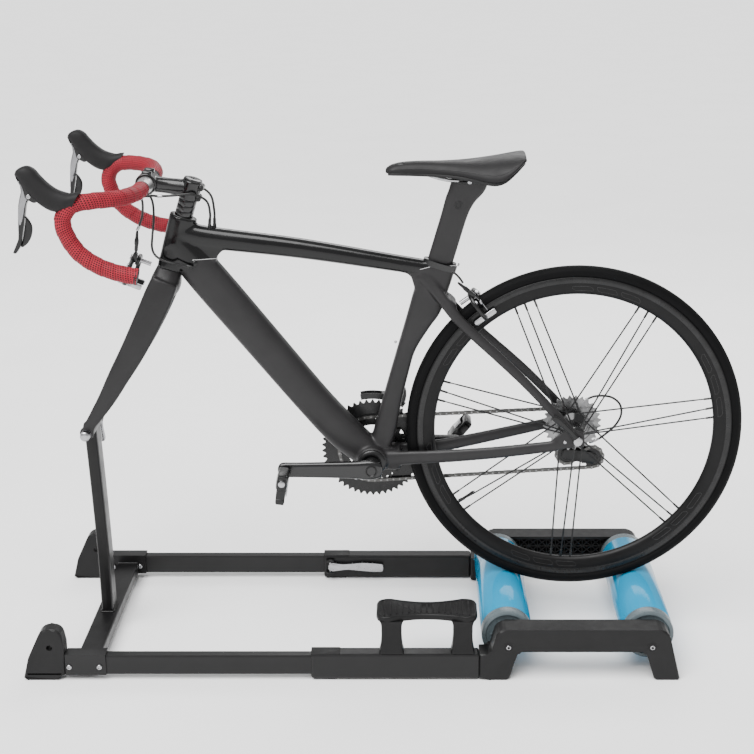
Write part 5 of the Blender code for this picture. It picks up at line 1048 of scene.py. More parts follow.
def brakes():
    for end, centre, down, fixed in (("front", FRONT_BRAKE, FRONT_DOWN, "front_end"),
                                     ("rear", REAR_BRAKE, REAR_DOWN, "main_frame")):
        front = down.cross(Y)
        if end == "front":
            front = front if front.x < 0 else -front
        else:
            front = front if front.x > 0 else -front
        for word, side in SIDES:
            offset = side * 0.0046 * (1 if down.cross(Y).dot(front) > 0 else -1)
            rows = [(-side * 0.0100, 0.0060, 0.0070), (-side * 0.0020, 0.0030, 0.0088),
                    (side * 0.0120, 0.0020, 0.0086),
                    (side * 0.0250, 0.0080, 0.0076), (side * 0.0305, 0.0200, 0.0070),
                    (side * 0.0300, 0.0330, 0.0066),
                    (side * 0.0260, 0.0430, 0.0066), (side * 0.0210, 0.0500, 0.0056)]
            path = smooth_values(rows, 4)
            points = [centre + Y * y + down * d + front * offset for y, d, _ in path]
            rings = []
            for i, p in enumerate(points):
                along = (points[min(i + 1, len(points) - 1)] - points[max(i - 1, 0)]).normalized()
                rings.append(superellipse(p, front.cross(along).normalized(), front, path[i][2], 0.0042, 24,
                                          3.5))
            body = f"{end}_brake_arm_{word}"
            make(f"{body}_forged", body, "satin", [skin(rings)], replaces=[body], angle=50)
            at = centre + Y * side * 0.0185 + down * 0.0485 + front * -0.004
            rings = []
            for s, g in ((-0.024, 0.003), (-0.021, 0.0048), (0.021, 0.0048), (0.024, 0.003)):
                rings.append(superellipse(at + front * s, Y, down, 0.0028, g + 0.0008, 20, 4))
            holder = skin(rings)
            rings = []
            for s, g in ((-0.0225, 0.0036), (-0.0205, 0.0046), (0.0205, 0.0046), (0.0225, 0.0036)):
                rings.append(superellipse(at + front * s - Y * side * 0.0034, Y, down, 0.0020, g, 20, 4))
            make(f"{body}_shoe", body, "silver", [holder])
            make(f"{body}_pad", body, "pad", [skin(rings)])
            make(f"{body}_screws", body, "silver",
                 [bolt(at + Y * side * 0.0022, (0, side, 0), 0.0044, 0.0038)]
                 + hexagon(centre + Y * side * 0.0285 + down * 0.0120 + front * (offset + 0.0044), front,
                           0.0038, 0.0016))
        middle = hexagon(centre + down * 0.002 + front * 0.0092, front, 0.0058, 0.0030)
        middle.append(spun([(0.0046, -0.0300), (0.0046, 0.0095), (0.0030, 0.0105)], centre + down * 0.002,
                           front, 24))
        make(f"{end}_brake_bolt", fixed, "silver", middle)
        cable_side = -1
        foot = centre + Y * cable_side * 0.0170 - down * 0.0060 + front * 0.001
        top = foot
        reach = (Vector((-0.4790, -0.0170, 0.8380)) if end == "front" else Vector((0.1323, -0.0170,
                                                                                   0.7366))) - top
        up = reach.normalized()
        if end == "front":
            top = top + up * (reach.length - 0.0350)
        parts = [spun([(0.0030, -0.006), (0.0036, -0.004), (0.0036, 0.006), (0.0044, 0.008), (0.0044, 0.016),
                       (0.0036, 0.018), (0.0030, 0.022), (0.0026, 0.030), (0.0018, 0.034)], top, up, 24)]
        parts.append(spun([(0.0020, 0), (0.0024, -0.002), (0.0024, -0.026), (0.0020, -0.028)], top, up, 16))
        parts.append(block_at(foot, front, Y, up, 0.0040, 0.0060, 0.0080))
        make(f"{end}_barrel_adjuster", fixed, "satin", parts)
        clamp = [spun([(0.0048, 0), (0.0052, 0.0008), (0.0052, 0.0030), (0.0040, 0.0040)],
                      centre + Y * cable_side * 0.0240 + down * 0.0180 + front * 0.0050, front, 28)]
        inner = tube(curve_through([top + up * -0.004,
                                    centre + Y * cable_side * 0.0205 + down * 0.006 + front * 0.004,
                                    centre + Y * cable_side * 0.0240 + down * 0.0185 + front * 0.0074,
                                    centre + Y * cable_side * 0.0250 + down * 0.0380 + front * 0.0080], 5),
                     0.0007, 8)
        make(f"{end}_cable_clamp", fixed, "silver", clamp + [inner])


def block_at(centre, u, v, w, a, b, c):
    geo = block((-a, -b, -c), (a, b, c), min(a, b, c) * 0.35, 3)
    return [centre + u * p.x + v * p.y + w * p.z for p in geo[0]], geo[1], geo[2]


# ---------------------------------------------------------------- seat

def seatpost():
    rings = [seat_section(z) for z in (0.7300, 0.7800, 0.8200, 0.8550)]
    rows = ((0.1268, 0.8650, 0.0248, 0.0098, 0.28), (0.1318, 0.8800, 0.0258, 0.0100, 0.24),
            (0.1385, 0.8950, 0.0285, 0.0106, 0.16), (0.1475, 0.9080, 0.0330, 0.0116, 0.08),
            (0.1530, 0.9200, 0.0350, 0.0132, 0.05), (0.1538, 0.9270, 0.0335, 0.0146, 0.05),
            (0.1538, 0.9295, 0.0300, 0.0140, 0.05))
    for x, z, a, b, lean in smooth_values(rows, 4):
        rings.append(superellipse(Vector((x, 0, z)), Vector((1, 0, -lean)).normalized(), Y, a, b, 40, 2.4))
    make("seatpost_skin", "seat", "charcoal", [skin(rings)], replaces=["seatpost"],
         angle=60)
    cover = []
    for side in (-1, 1):
        cover.append(spun([(0.0076, -0.0015), (0.0076, 0.0004), (0.0070, 0.0010), (0.0050, 0.0010),
                           (0.0046, 0.0004),
                           (0.0020, 0.0004)], (0.1343, side * 0.0102, 0.8855), (0, side, 0), 40))
    clamp = [block((0.1330, -0.0275, 0.9285), (0.1760, 0.0275, 0.9345), 0.0022, 3),
             block((0.1370, -0.0285, 0.9350), (0.1720, 0.0285, 0.9420), 0.0024, 3)]
    for side in (-1, 1):
        for x in (0.1400, 0.1690):
            clamp.append(spun([(0.0052, 0), (0.0056, 0.0010), (0.0056, 0.0060), (0.0048, 0.0072)],
                              (x, side * 0.0220, 0.9345), UP, 24))
    make("saddle_clamp", "seat", "satin", clamp + cover)
    make("saddle_clamp_bolts", "seat", "silver",
         [bolt((x, s * 0.0120, 0.9420), UP, 0.0036, 0.0022) for x in (0.1450, 0.1640) for s in (-1, 1)]
         + [bolt((0.1545, s * 0.0285, 0.9330), (0, s, 0), 0.0042, 0.0026) for s in (-1, 1)])


SADDLE = ((-0.0048, 0.9505, 0.0070, 0.0020, 0.0030), (-0.0040, 0.9535, 0.0110, 0.0045, 0.0050),
          (0.0000, 0.9575, 0.0150, 0.0085, 0.0075), (0.0080, 0.9620, 0.0178, 0.0120, 0.0090),
          (0.0250, 0.9662, 0.0200, 0.0155, 0.0100), (0.0450, 0.9680, 0.0212, 0.0172, 0.0105),
          (0.0700, 0.9690, 0.0232, 0.0185, 0.0110), (0.0950, 0.9694, 0.0272, 0.0195, 0.0110),
          (0.1200, 0.9702, 0.0338, 0.0215, 0.0110), (0.1450, 0.9716, 0.0440, 0.0255, 0.0110),
          (0.1650, 0.9734, 0.0535, 0.0305, 0.0108), (0.1850, 0.9760, 0.0622, 0.0365, 0.0104),
          (0.2050, 0.9790, 0.0676, 0.0405, 0.0100), (0.2220, 0.9818, 0.0688, 0.0370, 0.0094),
          (0.2380, 0.9842, 0.0664, 0.0260, 0.0086), (0.2500, 0.9854, 0.0600, 0.0165, 0.0074),
          (0.2570, 0.9852, 0.0530, 0.0105, 0.0056), (0.2602, 0.9836, 0.0470, 0.0075, 0.0036))


def saddle_ring(x, top, half, droop, thick, steps=28):
    """One cross-section: a flat top with a shallow channel, and sides that roll down to a thin lip."""
    upper, lower = [], []
    channel = 0.0022 * max(0.0, 1 - abs(x - 0.150) / 0.085) if 0.065 < x < 0.235 else 0.0
    for i in range(steps + 1):
        t = -1 + 2 * i / steps
        a = t * math.pi / 2
        y = half * math.sin(a)
        fall = 1 - math.cos(a)
        groove = channel * math.exp(-(y / 0.0085) ** 2)
        upper.append(Vector((x, y, top - droop * fall - groove)))
        fullness = 0.35 + 0.65 * math.cos(a) ** 0.5 if abs(t) < 0.999 else 0.35
        lower.append(Vector((x + 0.0008, y * 0.90, top - droop * 0.97 * fall - thick * fullness)))
    return upper, lower


def saddle():
    rows = smooth_values(SADDLE, 4)
    rings, seam_left, seam_right = [], [], []
    for row in rows:
        upper, lower = saddle_ring(*row)
        rings.append(upper + lower[::-1])
        seam_left.append(upper[3] + Vector((0, -0.0001, 0.0001)))
        seam_right.append(upper[-4] + Vector((0, 0.0001, 0.0001)))
    pad = make("saddle_padding", "seat", "saddle", [skin(rings)], replaces=["saddle"],
               angle=80,
               subdivide=1)
    lip = [tube(line, 0.00055, 8) for line in (seam_left[4:-3], seam_right[4:-3])]
    make("saddle_seams", "seat", "shell", lip)
    under = []
    for row in smooth_values(SADDLE[2:-1], 3):
        x, top, half, droop, thick = row
        upper, lower = saddle_ring(x, top - thick * 0.80, half * 0.93, droop * 0.98, 0.0030, 20)
        under.append(upper + lower[::-1])
    make("saddle_shell_under", "seat", "shell", [skin(under)], angle=80)
    rails = []
    for side in (-1, 1):
        run = [(0.0300, side * 0.0050, 0.9600), (0.0400, side * 0.0080, 0.9580),
               (0.0600, side * 0.0140, 0.9500),
               (0.1000, side * 0.0215, 0.9380), (0.1300, side * 0.0220, 0.9345),
               (0.1800, side * 0.0220, 0.9345),
               (0.2150, side * 0.0260, 0.9640), (0.2220, side * 0.0270, 0.9700)]
        rails.append(tube(curve_through(run, 8), 0.0035, 20))
    rails.append(tube([Vector((0.0300, -0.0055, 0.9600)), Vector((0.0285, 0, 0.9602)),
                       Vector((0.0300, 0.0055, 0.9600))],
                      0.0035, 16))
    make("saddle_rails_bright", "seat", "silver", rails)
    sockets = [block((0.0180, -0.0130, 0.9560), (0.0400, 0.0130, 0.9640), 0.002, 2)]
    for side in (-1, 1):
        sockets.append(block((0.2080, side * 0.0270 - 0.008, 0.9620), (0.2300, side * 0.0270 + 0.008, 0.9740),
                             0.002, 2))
    make("saddle_rail_sockets", "seat", "shell", sockets)


# ---------------------------------------------------------------- wheel

def wheel():
    steps, sides = 192, 28
    profile = []
    for k in range(sides + 1):
        a = math.radians(mix(-142, 142, k / sides))
        bulge = 1.0 + 0.012 * max(0.0, math.cos(a)) ** 6
        profile.append((TYRE_CENTRE + TYRE_HALF * bulge * math.cos(a) * (0.998 if abs(a) > 1.9 else 1),
                        TYRE_HALF * math.sin(a)))
    profile = [(min(r, 0.3349), h) for r, h in profile]
    circumference = 2 * math.pi * 0.335
    arc = TYRE_HALF * math.radians(284)
    body = spun(profile, WHEEL, Y, steps, uv=lambda i, j: (circumference * j / steps, arc * (i / sides - 0.5)))
    body = (body[0], body[1][:-2], body[2][:-2])
    bead = spun([(0.3118, -0.0085), (0.3118, 0.0085)], WHEEL, Y, steps)
    bead = (bead[0], bead[1][:-2], [])
    make("tyre_moulded", "rear_wheel", "tyre", [body], replaces=["tyre"], angle=60)
    make("tyre_bead", "rear_wheel", "pad", [bead], angle=60)
    outer = [(RIM_INNER, 0.0), (RIM_INNER + 0.0003, 0.0022), (RIM_INNER + 0.0020, 0.0048), (0.2840, 0.0074),
             (0.2900, 0.0093), (0.2960, 0.0104), (0.3010, 0.0108)]
    half = outer + [(0.3012, 0.0105), (0.3120, 0.0105), (0.3132, 0.0109), (0.3140, 0.0104), (0.3140, 0.0085)]
    loop = half + [(r, -h) for r, h in reversed(half[1:])]
    make("rim_aero", "rear_wheel", "rim", [spun(loop, WHEEL, Y, steps, ring=True)], replaces=["rim"],
         angle=40)
    track = []
    for side in (-1, 1):
        ring = spun([(0.3020, 0), (0.3026, 0.0003), (0.3112, 0.0003), (0.3118, 0)], WHEEL + Y * side * 0.0105,
                    Y * side, steps)
        track.append((ring[0], ring[1][:-2], []))
    make("brake_tracks", "rear_wheel", "track", track)
    # plain outline shapes round the rim, in place of lettering
    lines = []
    for side in (-1, 1):
        for group in range(6):
            mid = 2 * math.pi * (group + 0.35) / 6
            for a0, a1 in ((-0.27, -0.13), (-0.105, 0.035), (0.06, 0.20)):
                path = []
                corners = [(a0, 0.2868), (a1 - 0.02, 0.2868), (a1, 0.2915), (a1, 0.2958), (a0 + 0.02, 0.2958),
                           (a0, 0.2905)]
                for c in range(len(corners)):
                    b0, r0 = corners[c]
                    b1, r1 = corners[(c + 1) % len(corners)]
                    count = max(2, int(abs(b1 - b0) / 0.02))
                    for k in range(count):
                        a, r = mid + mix(b0, b1, k / count), mix(r0, r1, k / count)
                        h = 0.0082 + (r - 0.2868) * (0.0104 - 0.0082) / 0.0092
                        path.append(WHEEL + Vector((r * math.cos(a), side * (h + 0.0001), r * math.sin(a))))
                path.append(path[0])
                lines.append(tube(path, 0.00034, 5))
    make("rim_outline_marks", "rear_wheel", "rim_line", lines, angle=80)
    spokes, nipples = [], []
    reach = RIM_INNER + 0.0010
    for group in range(7):
        middle = math.radians(9) + 2 * math.pi * group / 7
        out = Vector((math.cos(middle), 0, math.sin(middle)))
        across = Vector((-math.sin(middle), 0, math.cos(middle)))
        ends = [(out * 0.0150 + Y * -0.0360, out * reach)]
        for sign in (-1, 1):
            along = math.sqrt(reach ** 2 - 0.020 ** 2)
            ends.append((across * (sign * 0.0230) + Y * 0.0200, out * along + across * (sign * 0.020)))
        for inner, outer_end in ends:
            a, b = WHEEL + inner, WHEEL + outer_end
            way = (b - a).normalized()
            length = (b - a).length
            flat = way.cross(Y).normalized()
            rings = []
            for t, w, d in ((0, 0.0011, 0.0011), (0.04, 0.0011, 0.0011), (0.08, 0.0012, 0.0006),
                            (0.88, 0.0012, 0.0006),
                            (0.92, 0.0010, 0.0010), (1.0, 0.0010, 0.0010)):
                rings.append(superellipse(a + way * length * t, flat, way.cross(flat), w * 1.35, d, 8, 2))
            spokes.append(skin(rings))
            nipples.append(spun([(0.0019, -0.0150), (0.0022, -0.0140), (0.0022, -0.0020), (0.0026, 0.0)], b,
                                way, 12))
            nipples.append(spun([(0.0026, -0.0030), (0.0030, -0.0015), (0.0030, 0.0020), (0.0018, 0.0030)],
                                a + way * 0.001, way, 12))
    make("spokes_bladed", "rear_wheel", "shell", spokes, replaces=["hub_and_spokes"])
    make("spoke_nipples", "rear_wheel", "satin", nipples)
    shell = spun([(0.0053, -0.0600), (0.0098, -0.0600), (0.0105, -0.0590), (0.0108, -0.0430),
                  (0.0150, -0.0410),
                  (0.0172, -0.0395), (0.0172, -0.0330), (0.0150, -0.0318), (0.0118, -0.0290),
                  (0.0112, -0.0100),
                  (0.0120, 0.0040), (0.0160, 0.0120), (0.0252, 0.0170), (0.0262, 0.0182), (0.0262, 0.0222),
                  (0.0250, 0.0232), (0.0175, 0.0240), (0.0172, 0.0300)], WHEEL, Y, 72)
    make("hub_shell", "rear_wheel", "gloss", [shell])
    ends = []
    for side in (-1, 1):
        ends.append(spun([(0.0053, 0.0570), (0.0100, 0.0572), (0.0102, 0.0640), (0.0090, 0.0652),
                          (0.0056, 0.0652)], WHEEL, Y * side, 40))
    make("hub_end_caps", "rear_wheel", "silver", ends)
    valve_way = Vector((math.cos(0.6), 0, math.sin(0.6))) * -1
    valve = spun([(0.0030, 0.2770), (0.0032, 0.2760), (0.0032, 0.2700), (0.0022, 0.2690), (0.0022, 0.2480),
                  (0.0028, 0.2470), (0.0028, 0.2420), (0.0012, 0.2410), (0.0012, 0.2380)], WHEEL, valve_way,
                 16)
    make("valve_stem", "rear_wheel", "satin", [valve])


# ---------------------------------------------------------------- drivetrain

def gear(centre, teeth, y0, y1, inner, depth=0.0040, phase=0.0):
    """A toothed ring: rounded tooth tips and rolled gullets, open in the middle."""
    pitch_r = CHAIN_PITCH * teeth / (2 * math.pi)
    shape = ((0.00, -0.0040), (0.12, -0.0036), (0.24, -0.0016), (0.36, 0.0012), (0.44, 0.0026), (0.56, 0.0026),
             (0.64, 0.0012), (0.76, -0.0016), (0.88, -0.0036))
    count = teeth * len(shape)
    rings = []
    for radius_add, y, inside in ((0, y0, True), (-0.0004, y0, False), (0, y0 + 0.0003, False),
                                  (0, y1 - 0.0003, False),
                                  (-0.0004, y1, False), (0, y1, True)):
        ring = []
        for k in range(count):
            tooth, part = divmod(k, len(shape))
            a = phase + 2 * math.pi * (tooth + shape[part][0]) / teeth
            r = inner if inside else pitch_r + shape[part][1] * (depth / 0.0040) + radius_add
            ring.append(Vector((centre[0] + r * math.cos(a), y, centre[1] + r * math.sin(a))))
        rings.append(ring)
    return skin(rings, loop=True)


def cassette():
    cogs = []
    teeth = (28, 25, 23, 21, 19, 17, 15, 14, 13, 12, 11)
    y = 0.0315
    for k, count in enumerate(teeth):
        inner = max(0.0160, CHAIN_PITCH * count / (2 * math.pi) - 0.0125)
        cogs.append(gear((WHEEL_X, WHEEL_Z), count, y, y + 0.0017, inner, 0.0036, 0.2 * k))
        if k < 8:
            web_r = CHAIN_PITCH * count / (2 * math.pi) - 0.0110
            for arm in range(5):
                a = 2 * math.pi * arm / 5 + 0.12 * k
                way = Vector((math.cos(a), 0, math.sin(a)))
                side = Vector((-way.z, 0, way.x)) * 0.0032
                start, end = WHEEL + way * 0.0165, WHEEL + way * web_r
                cogs.append(plate([(p.x, p.z) for p in (start - side, end - side, end + side, start + side)],
                                  y + 0.0002, y + 0.0015))
        y += 0.00235
    body = spun([(0.0165, 0.0300), (0.0176, 0.0300), (0.0176, 0.0570), (0.0150, 0.0590), (0.0135, 0.0592),
                 (0.0130, 0.0570)], WHEEL, Y, 60)
    make("cassette_cogs", "rear_wheel", "cogs", cogs, replaces=["cassette"], angle=30)
    make("cassette_body", "rear_wheel", "silver", [body])


def chain_line():
    """The chain's route round the chainring, cog and pulleys, as a list of points."""
    def pitch_r(teeth):
        return CHAIN_PITCH * teeth / (2 * math.pi)

    circles = ((BB.x, BB.z, pitch_r(34), 1), (WHEEL_X, WHEEL_Z, pitch_r(13), 1), (*GUIDE, pitch_r(11), -1),
               (*TENSION, pitch_r(11), 1))
    count = len(circles)
    heading = []
    for i in range(count):
        x1, z1, r1, s1 = circles[i]
        x2, z2, r2, s2 = circles[(i + 1) % count]
        heading.append(math.atan2(z2 - z1,
                                  x2 - x1) - math.asin((s1 * r1 - s2 * r2) / math.hypot(x2 - x1, z2 - z1)))
    route = []
    for i in range(count):
        x, z, r, sense = circles[i]
        start, end = heading[i - 1], heading[i]
        turn = (start - end) * sense % (2 * math.pi)
        steps = max(8, round(turn / math.radians(2)))
        for k in range(steps + 1):
            a = start - sense * turn * k / steps
            px, pz = x - sense * r * math.sin(a), z + sense * r * math.cos(a)
            t = max(0, min(1, (px - BB.x) / (WHEEL_X - BB.x)))
            route.append(Vector((px, mix(0.0385, COG_Y, t), pz)))
    return route


def chain():
    route = chain_line()
    route.append(route[0])
    runs = [0.0]
    for a, b in zip(route, route[1:]):
        runs.append(runs[-1] + (b - a).length)
    total = runs[-1]
    links = round(total / CHAIN_PITCH / 2) * 2
    pins = []
    k = 0
    for i in range(links):
        run = total * i / links
        while runs[k + 1] < run:
            k += 1
        pins.append(route[k].lerp(route[k + 1], (run - runs[k]) / (runs[k + 1] - runs[k])))
    plates, barrels = [], []
    for i in range(links):
        a, b = pins[i], pins[(i + 1) % links]
        way = (b - a).normalized()
        side = way.cross(Y).normalized()
        outer = i % 2 == 0
        shape = []
        half = (b - a).length / 2
        mid = (a + b) / 2
        for t in range(20):
            angle = 2 * math.pi * t / 20
            c, s = math.cos(angle), math.sin(angle)
            reach = half * (1 if c > 0 else -1) + 0.0040 * c
            waist = 0.0040 * s * (1 - 0.30 * (1 - abs(c)) ** 2 * (1 if abs(c) < 0.75 else 0))
            shape.append(way * reach + side * waist)
        for sy in (-1, 1):
            off = sy * (0.0027 if outer else 0.0018)
            low = [mid + p + Y * (off - 0.00042) for p in shape]
            high = [mid + p + Y * (off + 0.00042) for p in shape]
            plates.append(skin([low, high]))
        barrels.append(spun([(0.0016, -0.0033), (0.0019, -0.0031), (0.0019, -0.0012), (0.0036, -0.0011),
                             (0.0036, 0.0011),
                             (0.0019, 0.0012), (0.0019, 0.0031), (0.0016, 0.0033)], a, Y, 12))
    make("chain_plates", "main_frame", "chain", plates, replaces=["chain"], angle=30)
    make("chain_pins", "main_frame", "cogs", barrels, angle=30)


def crankset():
    rings = [gear((BB.x, BB.z), 50, 0.0436, 0.0462, 0.0700, 0.0040),
             gear((BB.x, BB.z), 34, 0.0373, 0.0395, 0.0520, 0.0040)]
    for arm in range(4):
        a = math.radians(45 + 90 * arm)
        way = Vector((math.cos(a), 0, math.sin(a)))
        side = Vector((-way.z, 0, way.x))
        c = Vector((BB.x, 0, BB.z))
        # arched window between the arms of the big ring
        for s in (-1, 1):
            out = [c + way * 0.0760 + side * s * 0.0180, c + way * 0.0700 + side * s * 0.0110,
                   c + way * 0.0560 + side * s * 0.0080, c + way * 0.0560, c + way * 0.0760]
            rings.append(plate([(p.x, p.z) for p in out], 0.0438, 0.0460, 0.0004))
    make("chainrings_toothed", "crankset", "satin", rings, replaces=["chainrings"],
         angle=30)
    centre = Vector((BB.x, 0, BB.z))
    spider, nuts = [], []
    for arm in range(4):
        a = math.radians(45 + 90 * arm)
        way = Vector((math.cos(a), 0, math.sin(a)))
        side = Vector((-way.z, 0, way.x))
        rows = ((0.012, 0.0600, 0.0120, 0.0110), (0.030, 0.0570, 0.0090, 0.0090),
                (0.050, 0.0520, 0.0078, 0.0062),
                (0.060, 0.0505, 0.0076, 0.0045), (0.0650, 0.0500, 0.0050, 0.0035))
        rs = [superellipse(centre + way * r + Y * y, side, Y, w, d, 24,
                           3) for r, y, w, d in smooth_values(rows, 3)]
        spider.append(skin(rs))
        nuts.append(bolt(centre + way * 0.0560 + Y * 0.0530, Y, 0.0048, 0.0022))
        nuts.append(spun([(0.0046, 0.0), (0.0046, 0.0012), (0.0030, 0.0014)],
                         centre + way * 0.0560 + Y * 0.0372, -Y, 20))
    for word, side, direction in (("left", -1, -1), ("right", 1, 1)):
        y = side * 0.0790
        rows = ((-0.0215, 0.0060, 0.0045), (-0.0195, 0.0120, 0.0070), (-0.0140, 0.0165, 0.0085),
                (0.0, 0.0198, 0.0090),
                (0.0150, 0.0192, 0.0086), (0.0400, 0.0172, 0.0078), (0.1000, 0.0156, 0.0070),
                (0.1500, 0.0148, 0.0070),
                (0.1720, 0.0148, 0.0070), (0.1795, 0.0118, 0.0064), (0.1830, 0.0060, 0.0045))
        rs = [superellipse(Vector((BB.x + direction * r, y, BB.z)), UP, Y, h, w, 40, 3.2)
              for r, h, w in smooth_values(rows, 4)]
        parts = [skin(rs)]
        if side > 0:
            parts += spider
            parts.append(spun([(0.0260, 0.0480), (0.0280, 0.0500), (0.0270, 0.0600), (0.0215, 0.0740),
                               (0.0190, 0.0770)],
                              centre, Y, 56))
        make(f"crank_arm_{word}", "crankset", "gloss", parts, replaces=[f"crank_{word}"],
             angle=50)
        hub = [spun([(0.0118, 0.0640), (0.0122, 0.0660), (0.0122, 0.0888), (0.0100, 0.0895), (0.0086, 0.0880),
                     (0.0080, 0.0868), (0.0040, 0.0866)], centre, Y * side, 48)]
        hub.append(spun([(0.0150, 0.0500), (0.0150, 0.0705)], centre, Y * side, 40))
        make(f"crank_boss_{word}", "crankset", "satin", hub)
        make(f"crank_screws_{word}", "crankset", "silver",
             [bolt((BB.x + direction * 0.0180, y, BB.z - 0.0186), (0, 0, -1), 0.0032, 0.0016),
              bolt((BB.x + direction * 0.0300, y, BB.z - 0.0178), (0, 0, -1), 0.0032, 0.0016),
              spun([(0.0078, 0.0), (0.0082, 0.0006), (0.0076, 0.0011), (0.0052, 0.0011), (0.0046, 0.0002)],
                   (BB.x + direction * 0.170, y + side * 0.0068, BB.z), (0, side, 0), 36)])
    make("chainring_bolts", "crankset", "silver", nuts)


def pedals():
    for word, side, direction, tilt in (("left", -1, -1, math.radians(-97)),
                                        ("right", 1, 1, math.radians(50))):
        hub = Vector((BB.x + direction * 0.170, 0, BB.z))
        long_way = Vector((math.cos(tilt), 0, math.sin(tilt)))
        thick = Vector((-math.sin(tilt), 0, math.cos(tilt)))
        rows = ((0.0985, 0.0090, 0.0085, 0.0), (0.1010, 0.0125, 0.0105, 0.002),
                (0.1050, 0.0150, 0.0115, 0.004),
                (0.1250, 0.0150, 0.0120, 0.004), (0.1480, 0.0140, 0.0110, 0.004),
                (0.1545, 0.0110, 0.0085, 0.002),
                (0.1558, 0.0070, 0.0050, 0.001))
        rs = [superellipse(hub + Y * side * y + long_way * o, long_way, thick, a, b, 32, 3) for y, a, b, o in
              smooth_values(rows, 4)]
        frame_parts = [skin(rs)]
        # cage: a front hoop, a rear claw and two side rails round the barrel
        for y0, y1, o0, o1, h in ((0.1020, 0.1545, 0.0320, 0.0435, 0.0080),
                                  (0.1060, 0.1500, -0.0165, -0.0085, 0.0085)):
            frame_parts.append(block_at(hub + Y * side * (y0 + y1) / 2 + long_way * (o0 + o1) / 2, long_way,
                                        Y, thick,
                                        (o1 - o0) / 2, (y1 - y0) / 2, h))
        for y in (0.1055, 0.1500):
            frame_parts.append(block_at(hub + Y * side * y + long_way * 0.0130, long_way, Y, thick, 0.0270,
                                        0.0035, 0.0088))
        make(f"pedal_{word}_body", f"pedal_{word}", "satin", frame_parts, replaces=[f"pedal_{word}"],
             angle=45)
        axle = spun([(0.0040, 0.0700), (0.0045, 0.0705), (0.0045, 0.0870), (0.0078, 0.0875), (0.0082, 0.0885),
                     (0.0082, 0.0925), (0.0060, 0.0940), (0.0055, 0.0990)], hub, Y * side, 36)
        cap = spun([(0.0060, 0.1556), (0.0064, 0.1562), (0.0050, 0.1570)], hub, Y * side, 30)
        plate_steel = block_at(hub + Y * side * 0.1280 + long_way * 0.0180 + thick * 0.0108, long_way, Y,
                               thick,
                               0.0110, 0.0150, 0.0008)
        make(f"pedal_{word}_axle", f"pedal_{word}", "silver", [axle, cap, plate_steel])


